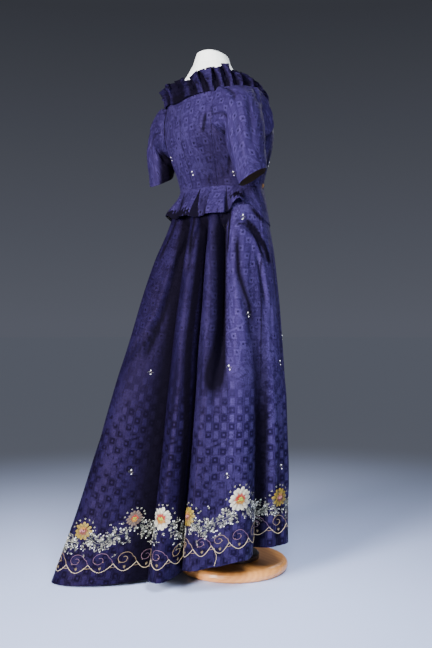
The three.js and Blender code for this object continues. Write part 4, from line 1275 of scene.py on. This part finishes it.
class Border:
    """Finds points of the skirt by their distance round it and their height above its hem."""

    def __init__(self):
        self.starts, self.origins, self.tables = [], [], []
        start = 0.0
        heights = np.arange(LOWEST, HIGHEST, STEP)
        for panel in panels:
            data = np.concatenate([panel.around[..., None], panel.grid, panel.normals], -1)
            columns = resampled(panel.above[::-1].T, data[::-1].transpose(1, 0, 2), heights)
            held = columns.transpose(1, 0, 2)
            around = np.arange(held[..., 0].min(), held[..., 0].max() + STEP, STEP)
            joined = held[int(round((JOIN - LOWEST) / STEP)), :, 0]
            self.starts.append(start)
            self.origins.append((joined[0], around[0]))
            self.tables.append(resampled(held[..., 0], held[..., 1:], around))
            start += joined[-1] - joined[0]
        self.length = start

    def along(self, fold, z):
        """Distance round and height above the hem of a point given by its fold line and height."""
        fold = (fold - 1) % LINES + 1
        k = max(i for i, panel in enumerate(panels) if panel.first <= fold)
        panel = panels[k]
        last = panel.grid.shape[1] - 1
        column = (fold - panel.first) / (panel.last - panel.first) * last
        i = min(int(column), last - 1)
        measures = (panel.z, panel.around, panel.above)
        heights, around, above = (mix(m[:, i], m[:, i + 1], column - i)[::-1] for m in measures)
        start = self.starts[k] - self.origins[k][0]
        return float(np.interp(z, heights, around) + start), float(np.interp(z, heights, above))

    def __call__(self, along, above, lift):
        along = np.asarray(along, float) % self.length
        which = np.searchsorted(self.starts, along, side="right") - 1
        out = np.zeros((*along.shape, 3))
        for k, table in enumerate(self.tables):
            mine = which == k
            if not mine.any():
                continue
            first, origin = self.origins[k]
            rows, columns = table.shape[:2]
            x = clamp((along[mine] - self.starts[k] + first - origin) / STEP, 0, columns - 1.001)
            y = clamp((above[mine] - LOWEST) / STEP, 0, rows - 1.001)
            i, j = x.astype(int), y.astype(int)
            tx, ty = (x - i)[:, None], (y - j)[:, None]
            lower, upper = (mix(table[row, i], table[row, i + 1], tx) for row in (j, j + 1))
            near = mix(lower, upper, ty)
            out[mine] = near[:, :3] + unit(near[:, 3:]) * lift[mine][:, None]
        return out


def turned(along, above, angle, x, y):
    """Points given from a place on the cloth, in the direction of an angle and across it."""
    cosine, sine = math.cos(angle), math.sin(angle)
    return along + x * cosine - y * sine, above + x * sine + y * cosine


class Needlework:
    """Raised stitches, gathered as grids of (along, above, lift) points and laid on the cloth."""

    def __init__(self):
        self.points, self.faces, self.uvs, self.kinds, self.count = [], [], [], [], 0

    def grid(self, along, above, lift, u, v, kind):
        along, above, lift, u, v = np.broadcast_arrays(along, above, lift, u, v)
        rows, columns = along.shape
        index = np.arange(rows * columns).reshape(rows, columns) + self.count
        a, b, c, d = index[:-1, :-1], index[:-1, 1:], index[1:, 1:], index[1:, :-1]
        self.faces.append(np.stack([a, b, c, d], -1).reshape(-1, 4))
        self.points.append(np.stack([along, above, lift], -1).reshape(-1, 3))
        self.uvs.append(np.stack([u, v], -1).reshape(-1, 2))
        self.kinds.append(np.full((rows - 1) * (columns - 1), KIND[kind]))
        self.count += rows * columns

    def cord(self, along, above, width, kind, lift=0.1):
        """A round thread laid along a line of points."""
        along, above = np.asarray(along, float), np.asarray(above, float)
        da, dh = np.gradient(along), np.gradient(above)
        size = np.hypot(da, dh)
        size[size == 0] = 1
        run = np.concatenate([[0], np.cumsum(np.hypot(np.diff(along), np.diff(above)))])
        around = np.linspace(0, math.pi, 5)[:, None]
        side, rise = np.cos(around) * width / 2, lift + np.sin(around) * width * 0.55
        x, y = along - dh / size * side, above + da / size * side
        self.grid(x, y, rise, run / 10, around / math.pi, kind)

    def leaf(self, along, above, angle, length, width, kind, lift=0.3):
        """A leaf of satin stitches from its stalk, at this angle from straight along the border."""
        s = np.linspace(0, 1, 5)[:, None]
        c = np.linspace(-1, 1, 3)[None]
        half = width / 2 * np.sin(np.pi * (0.08 + 0.92 * s) ** 0.8)
        rise = lift + 0.35 * width * (1 - c**2) * np.sin(np.pi * (0.1 + 0.85 * s))
        self.grid(*turned(along, above, angle, s * length, c * half), rise, s, c, kind)

    def dot(self, along, above, radius, kind, lift=0.2):
        """A knot."""
        a = np.linspace(0, 2 * math.pi, 9)[None]
        r = np.array([1.0, 0.72, 0.02])[:, None] * radius
        rise = lift + np.array([0.0, 0.6, 0.85])[:, None] * radius
        self.grid(along + r * np.cos(a), above + r * np.sin(a), rise, r / radius, a / TURN, kind)

    def petal(self, along, above, angle, near, far, width, kind, lift):
        """A petal from radius near to far round a flower's centre, with a notched, frayed tip."""
        s = np.linspace(0, 1, 7)[:, None]
        c = np.linspace(-1, 1, 7)[None]
        tip = far * (1 - 0.13 * c**2 + 0.1 * np.abs(c) * (1 - np.abs(c)) - 0.03 * (c == 0))
        half = width / 2 * (0.42 + 0.58 * np.sin(np.pi / 2 * s**0.7))
        half = half * np.where(s > 0.85, 1 - (s - 0.85) * 1.3, 1)
        rise = lift + 1.5 * (1 - c**2) * np.sin(np.pi * (0.12 + 0.8 * s)) + 0.8 * s
        out = near + (tip - near) * s
        self.grid(*turned(along, above, angle, out, c * half), rise, s, c, kind)

    def build(self, name, surface):
        along, above, lift = np.concatenate(self.points).T
        where = surface(along, above, lift)
        faces = np.concatenate(self.faces)
        # Faces look out of the cloth, whichever way round a stitch was drawn.
        outward = surface(along, above, lift + 1) - where
        corner = where[faces]
        face_normal = np.cross(corner[:, 2] - corner[:, 0], corner[:, 3] - corner[:, 1])
        wrong = (outward[faces[:, 0]] * face_normal).sum(1) < 0
        faces[wrong] = faces[wrong][:, ::-1]
        uvs, kinds = np.concatenate(self.uvs), np.concatenate(self.kinds)
        make_piece(name, where, faces, threads, uvs, kinds)


CORD_TWIST = 20.0  # a thread with more strands than this is a cord


def thread_material(name, base, tip, twist=16.0, roughness=0.5):
    """Embroidery silk, its colour changing from a stitch's foot to its tip, with fine strands.

    Strands lie across a cord, which has more of them, and along a stitch.
    """
    sh = Shader(name)
    u, v, _ = sh.parts(sh.cloth())
    speck = sh.noise(sh.coordinates("Object"), 420.0, 1.0)
    strands = sh.math("SINE", sh.times(u if twist > CORD_TWIST else v, twist))
    strands = sh.times(sh.add(strands, 1.0), 0.5)
    share = sh.add(sh.times(u, 0.8), sh.times(sh.math("SUBTRACT", speck, 0.5), 0.7))
    shadow = (*[channel * 0.45 for channel in srgb(*base)[:3]], 1.0)
    shade = sh.mix(sh.times(strands, 0.3), sh.mix(share, srgb(*base), srgb(*tip)), shadow)
    sh.set("Base Color", shade)
    sh.set("Roughness", sh.add(roughness - 0.06, sh.times(speck, 0.15)))
    sh.set("Sheen Weight", 0.03)
    sh.bump(strands, 0.0003, 0.7)
    return sh.material


# Each thread's material: its name, its colour at a stitch's foot and tip, and a cord's twist and
# roughness.
THREADS = {
    "white_petal": ("white_petals", (80, 68, 52), (216, 210, 190)),
    "yellow_petal": ("yellow_petals", (50, 32, 0), (150, 124, 3)),
    # Shaded petals: a pale flower's colours painted dark, for the one that lies in the train's shadow.
    "dusk_petal": ("shaded_petals", (44, 24, 24), (98, 78, 64)),
    "orange": ("orange_stitches", (122, 10, 0), (176, 42, 2)),
    "amber": ("amber_stitches", (132, 72, 0), (168, 124, 6)),
    "green": ("green_knots", (96, 116, 16), (176, 176, 40)),
    "russet": ("russet_stitches", (70, 22, 14), (128, 50, 22)),
    "pink": ("pink_knots", (136, 78, 82), (178, 116, 116)),
    "cream": ("cream_cord", (178, 160, 130), (172, 154, 124), 30.0, 0.5),
    "gold": ("gold_thread", (126, 104, 72), (132, 110, 78), 40.0, 0.45),
    "mauve": ("mauve_thread", (98, 66, 84), (102, 70, 88), 40.0, 0.45),
    "ivory_leaf": ("ivory_leaves", (120, 116, 104), (176, 172, 156)),
    "sage_leaf": ("sage_leaves", (66, 70, 60), (98, 102, 88)),
    "olive": ("olive_sprigs", (92, 76, 50), (120, 102, 68)),
    "white": ("white_knots", (236, 236, 232), (250, 250, 248)),
}
threads = [thread_material(*row) for row in THREADS.values()]
KIND = {name: k for k, name in enumerate(THREADS)}

SIZES = {"yellow": 50, "white": 58, "dusk": 42}  # how far across each kind of flower is
CENTRE_STITCHES, CENTRE_KNOTS = 40, 16


def angles_round(count, own, uneven, first=0.0):
    """Angles spaced round a flower with some unevenness, each drawn only when it is used."""
    for k in range(count):
        yield k, 2 * math.pi * (k + first + own.uniform(-uneven, uneven)) / count


def add_flower(work, t, h, colour, own):
    """A daisy of two rounds of petals, a ring of short stitches and a knotted centre."""
    far = SIZES[colour] / 2 * own.uniform(0.96, 1.04)
    yellow, kind = colour == "yellow", colour + "_petal"
    count = 12 if yellow else 14
    for k, angle in angles_round(count, own, 0.16):
        tip, lift = far * own.uniform(0.88, 1.07), 0.4 + 0.25 * (k % 3)
        work.petal(t, h, angle, far * 0.34, tip, far * 0.35, kind, lift)
    for k, angle in angles_round(count - 4, own, 0.2, 0.5):
        tip, lift = far * own.uniform(0.62, 0.74), 1.2 + 0.3 * (k % 2)
        work.petal(t, h, angle, far * 0.3, tip, far * 0.25, kind, lift)
    for _, angle in angles_round(CENTRE_STITCHES, own, 0.3):
        if yellow:
            ring = "amber" if math.cos(angle + 0.9) < -0.1 else "russet"
        else:
            ring = "amber" if math.sin(angle) < -0.2 else "orange"
        x, y = turned(t, h, angle, far * own.uniform(0.14, 0.2), 0.0)
        work.leaf(x, y, angle, far * own.uniform(0.26, 0.42), far * 0.1, ring, 2.0)
    stretch, aside, knot = (1.6, 0.06 * far, "pink") if yellow else (1.0, 0.0, "green")
    for _ in range(CENTRE_KNOTS):
        angle, out = own.uniform(0, TURN), far * 0.2 * math.sqrt(own.uniform(0, 1))
        x = t + out * math.cos(angle) * stretch - aside
        work.dot(x, h + out * math.sin(angle) * 0.8, far * 0.07, knot, 2.4)


def add_twig(work, t, h, angle, length, own, big=1.0):
    """A short stem with pairs of small leaves and a knot at its tip."""
    n = max(3, int(length / 3.2))
    bend = own.uniform(-0.5, 0.5)
    x, y, heading = [t], [h], angle
    for _ in range(n):
        heading += bend / n
        x.append(x[-1] + length / n * math.cos(heading))
        y.append(y[-1] + length / n * math.sin(heading))
    work.cord(x, y, 0.9, "sage_leaf")
    for k in range(1, n, 2):
        for side in (-1, 1):
            leaf = "ivory_leaf" if own.uniform() < 0.55 else "sage_leaf"
            aim = heading + side * own.uniform(0.6, 1.0)
            work.leaf(x[k], y[k], aim, big * own.uniform(4.0, 6.2), 2.0 * big, leaf)
    tip = own.uniform()
    if tip < 0.62:
        work.dot(x[-1], y[-1], big * own.uniform(1.2, 1.9), "white" if tip < 0.4 else "ivory_leaf")
    else:
        work.leaf(x[-1], y[-1], heading, 6.0 * big, 2.6 * big, "ivory_leaf")


SCALLOP_LOW, SCALLOP_DEPTH = 33.0, 21.0  # the cord's lowest height above the hem, and its rise


def add_scallop(work, start, end, own, thread):
    """One scallop of the couched cord, with the small work that sits in it and over it."""
    low, depth = SCALLOP_LOW, SCALLOP_DEPTH
    a = np.linspace(0, 1, 25)
    work.cord(mix(start, end, a), low + depth * (2 * np.abs(a - 0.5)) ** 1.75, 1.5, "cream", 0.2)
    middle, span = (start + end) / 2, end - start
    a = np.linspace(-0.17, 0.17, 9)
    work.cord(start + span * a, low + depth * 0.62 + 60 * a**2 - 2, 1.0, "gold")
    for tilt in (-0.5, -0.17, 0.17, 0.5):
        work.leaf(middle, low + 6.5, math.pi / 2 + tilt, 9.5 - 4 * abs(tilt), 1.9, "olive")
    # A tendril climbs from the cusp, arches over the scallop and curls up inside its own arch.
    s = np.linspace(0, 1, 40)
    swing = math.pi * (0.05 + 2.6 * s)
    radius = span * 0.62 * (1 - 0.78 * s**0.8) * 0.62
    x = start + span * 0.42 + radius * np.cos(swing)
    y = low + depth + 11 + radius * np.sin(swing) * 0.85
    lead = np.linspace(0, 1, 8)[:-1]
    x = np.concatenate([mix(end - 1, x[0], lead) + 2 * np.sin(np.pi * lead), x])
    y = np.concatenate([mix(low + depth + 1, y[0], smooth(lead)), y])
    work.cord(x, y, 1.1, thread, 0.15)
    for share in (0.55, 0.75):
        i = int(share * (len(x) - 1))
        work.leaf(x[i], y[i], own.uniform(0, TURN), 4.0, 1.6, "gold")


# Flowers that show, as fold and height, and their colour.
FLOWERS = [
    (4.216, 139, "yellow"),
    # A pale flower lying in shadow, its petals painted dark.
    (4.6, 172, "dusk"),
    (5.96, 186, "white"),
    (7.765, 198, "yellow"),
    (9.921, 242, "white"),
    (12.211, 228, "yellow"),
]
FLOWER_GAP = 158.0  # about how far apart the others are
FLOWER_ABOVE = 118.0  # and about how high above the hem
SCALLOP_SPAN = 53  # about how long a scallop is
LOOSE_CUSP = (8.96, 124)  # the cusp where the cord has come loose, as fold and height
FORKS, HANGING_TWIGS = 7, 6  # over and under each flower


def with_next(flowers, border):
    """Each flower with the one after it, the last one being followed by the first."""
    first = flowers[0]
    return zip(flowers, flowers[1:] + [(first[0] + border.length, *first[1:])])


def flower_places(border):
    """All flowers round the hem: those that show, and others in the gaps between them."""
    shown = sorted((*border.along(fold, z), colour) for fold, z, colour in FLOWERS)
    every = []
    for here, after in with_next(shown, border):
        every.append(here)
        gap = after[0] - here[0]
        more = max(0, int(round(gap / FLOWER_GAP)) - 1)
        for k in range(1, more + 1):
            share = k / (more + 1)
            high = mix(mix(here[1], after[1], share), FLOWER_ABOVE, 0.5)
            colour = "white" if (here[2] == "yellow") == bool(k % 2) else "yellow"
            every.append((here[0] + gap * k / (more + 1), high, colour))
    return every


def add_surround(work, t, h, edge, own):
    """Forked sprigs round the top of a flower."""
    for k in range(FORKS):
        angle = math.pi * (0.08 + 0.84 * k / (FORKS - 1)) + own.uniform(-0.08, 0.08)
        x, y = turned(t, h, angle, edge + own.uniform(-1, 1), 0.0)
        for fork in (-0.45, 0.0, 0.45):
            leaf = "ivory_leaf" if fork else "sage_leaf"
            work.leaf(x, y, angle + fork, own.uniform(4.5, 6.5), 1.5, leaf)


def add_garland(work, t, h, gap, next_h, edge, own):
    """A garland from one flower to the next, with twigs along it, over it and under it."""
    n = max(6, int(gap / 6.5))
    share = np.linspace(0.1, 0.9, n)
    stem = t + gap * share
    hang = mix(h, next_h, share) - 14 - 26 * np.sin(np.pi * share) + 6 * np.sin(4 * np.pi * share)
    work.cord(stem, hang, 1.1, "sage_leaf")
    for k in range(n):
        for side in (-1, 1):
            if own.uniform() < 0.8:
                angle = side * own.uniform(0.7, 1.9)
                x, y = stem[k] + own.uniform(-3, 3), hang[k] + side * own.uniform(1, 5)
                add_twig(work, x, y, angle, own.uniform(8, 21), own, own.uniform(0.85, 1.15))
    lowest = SCALLOP_LOW + SCALLOP_DEPTH + 14
    for _ in range(int(gap / 2.6)):
        place = own.uniform(0.04, 0.96)
        x = t + gap * place
        y = np.interp(place, share, hang) + own.normal(-4, 19)
        clear = np.hypot(x - t, y - h) > edge and np.hypot(x - t - gap, y - next_h) > 30
        if clear and y > lowest:
            angle, length = own.uniform(0, TURN), own.uniform(5, 12)
            add_twig(work, x, y, angle, length, own, own.uniform(0.7, 0.95))
    for _ in range(int(gap / 9)):
        place = own.uniform(0.06, 0.94)
        y = np.interp(place, share, hang) + own.uniform(-26, 30)
        size = own.uniform(0.9, 1.7)
        work.dot(t + gap * place, y, size, "white" if own.uniform() < 0.5 else "ivory_leaf")


def embroider_border(border):
    own = np.random.default_rng(1890)
    line, work, blooms = Needlework(), Needlework(), Needlework()
    cusps = []
    for (t, h, colour), (next_t, next_h, _) in with_next(flower_places(border), border):
        gap = next_t - t
        parts = max(1, int(round(gap / SCALLOP_SPAN)))
        cusps += [t + gap * (k + 0.5) / parts for k in range(parts)]
        edge = SIZES[colour] / 2 + 4
        add_flower(blooms, t, h, colour, own)
        add_surround(work, t, h, edge, own)
        add_garland(work, t, h, gap, next_h, edge, own)
        # Twigs hang from the flower.
        for k in range(HANGING_TWIGS):
            angle = math.pi * (1.12 + 0.76 * k / (HANGING_TWIGS - 1))
            x, y = turned(t, h, angle, edge, 0.0)
            add_twig(work, x, y, angle, own.uniform(7, 13), own)
    cusps.append(cusps[0] + border.length)
    for k, (start, end) in enumerate(zip(cusps, cusps[1:])):
        add_scallop(line, start, end, own, "gold" if k % 2 else "mauve")
    # The couched cord has come loose at one cusp, and its end lies down the cloth to the hem.
    t, h = border.along(*LOOSE_CUSP)
    aside, down = np.array([0, 3, 7, 7.5, 5, 3.5]), np.array([0, 9, 18, 28, 36, 44])
    line.cord(t + aside, h - down, 1.1, "cream", 0.8)
    line.build("border_cord", border)
    work.build("border_garland", border)
    blooms.build("border_flowers", border)


border = Border()
embroider_border(border)

# Small sprigs scattered over the skirt, as fold and height, and the bodice, as turn and height.
SKIRT_SPRIGS = [
    (4.506, 548), (9.536, 566), (10.471, 700), (12.396, 575), (4.49, 290), (9.389, 300), (12.33, 306),
    (10.395, 952), (7.0, 640), (2.1, 420), (1.5, 690), (0.2, 540), (0.5, 280), (17.0, 430), (16.2, 700),
    (15.2, 520), (14.1, 330), (14.3, 820), (13.3, 640), (2.3, 230), (16.7, 250), (15.0, 250), (3.4, 640),
]
BODICE_SPRIGS = [(-4, 1077), (-62, 1066), (30, 1130), (60, 1090), (126, 1120), (-140, 1110)]
FRONT_EDGE = (-121, 1045)  # where the gold stitches lie, as turn and height


def add_sprig(work, t, h, scale=1.0):
    """Two small white knots, one over the other on a bent stem, with a dim loop beside each."""
    work.dot(t - 0.4, h + 5.2 * scale, 1.9 * scale, "white", 0.5)
    work.dot(t + 1.4, h - 5.4 * scale, 1.7 * scale, "white", 0.5)
    s = np.linspace(-1, 1, 9)
    work.cord(t + 0.5 + 1.6 * (1 - s**2) * scale, h + 3.6 * s * scale, 0.6, "olive")
    a = np.linspace(-0.6, 4.4, 12)
    for side, low in ((-1, 2.0), (1, -2.6)):
        x = t + side * (4.4 + 2.6 * np.cos(a)) * scale
        work.cord(x, h + (low + 2.2 * np.sin(a)) * scale, 0.6, "sage_leaf")


def bodice_surface(turn, z):
    """Lays stitches on the bodice round one of its points."""

    def at(turn, z, grow=0.0):
        return body_point(np.array(turn), np.array(z), grow)

    centre = at(turn, z, CLOSE + CLOTH)
    beside = unit(at(turn - 1.0, z) - at(turn + 1.0, z))
    upward = unit(at(turn, z + 2.0) - at(turn, z - 2.0))
    out = unit(np.cross(beside, upward))
    out = out if out @ (centre - [0, body[3](z), z]) > 0 else -out
    ways = np.stack([beside, upward, out])
    return lambda along, above, lift: centre + np.stack([along, above, lift], -1) @ ways


sprigs = Needlework()
for fold, z in SKIRT_SPRIGS:
    add_sprig(sprigs, *border.along(fold, z))
sprigs.build("skirt_sprigs", border)
for k, place in enumerate(BODICE_SPRIGS):
    sprig = Needlework()
    add_sprig(sprig, 0.0, 0.0, 0.9)
    sprig.build(f"bodice_sprig_{k + 1}", bodice_surface(*place))

# A tuft of gold stitches lies by the front edge at the waist.
own = np.random.default_rng(5)
tuft = Needlework()
for _ in range(24):
    x, y = own.uniform(-9, 9), own.uniform(-8, 8)
    kind = "amber" if own.uniform() < 0.5 else "gold"
    tuft.leaf(x, y, own.uniform(-2.4, -0.8), own.uniform(8, 15), 1.8, kind, 0.6)
tuft.build("bodice_gold_tuft", bodice_surface(*FRONT_EDGE))
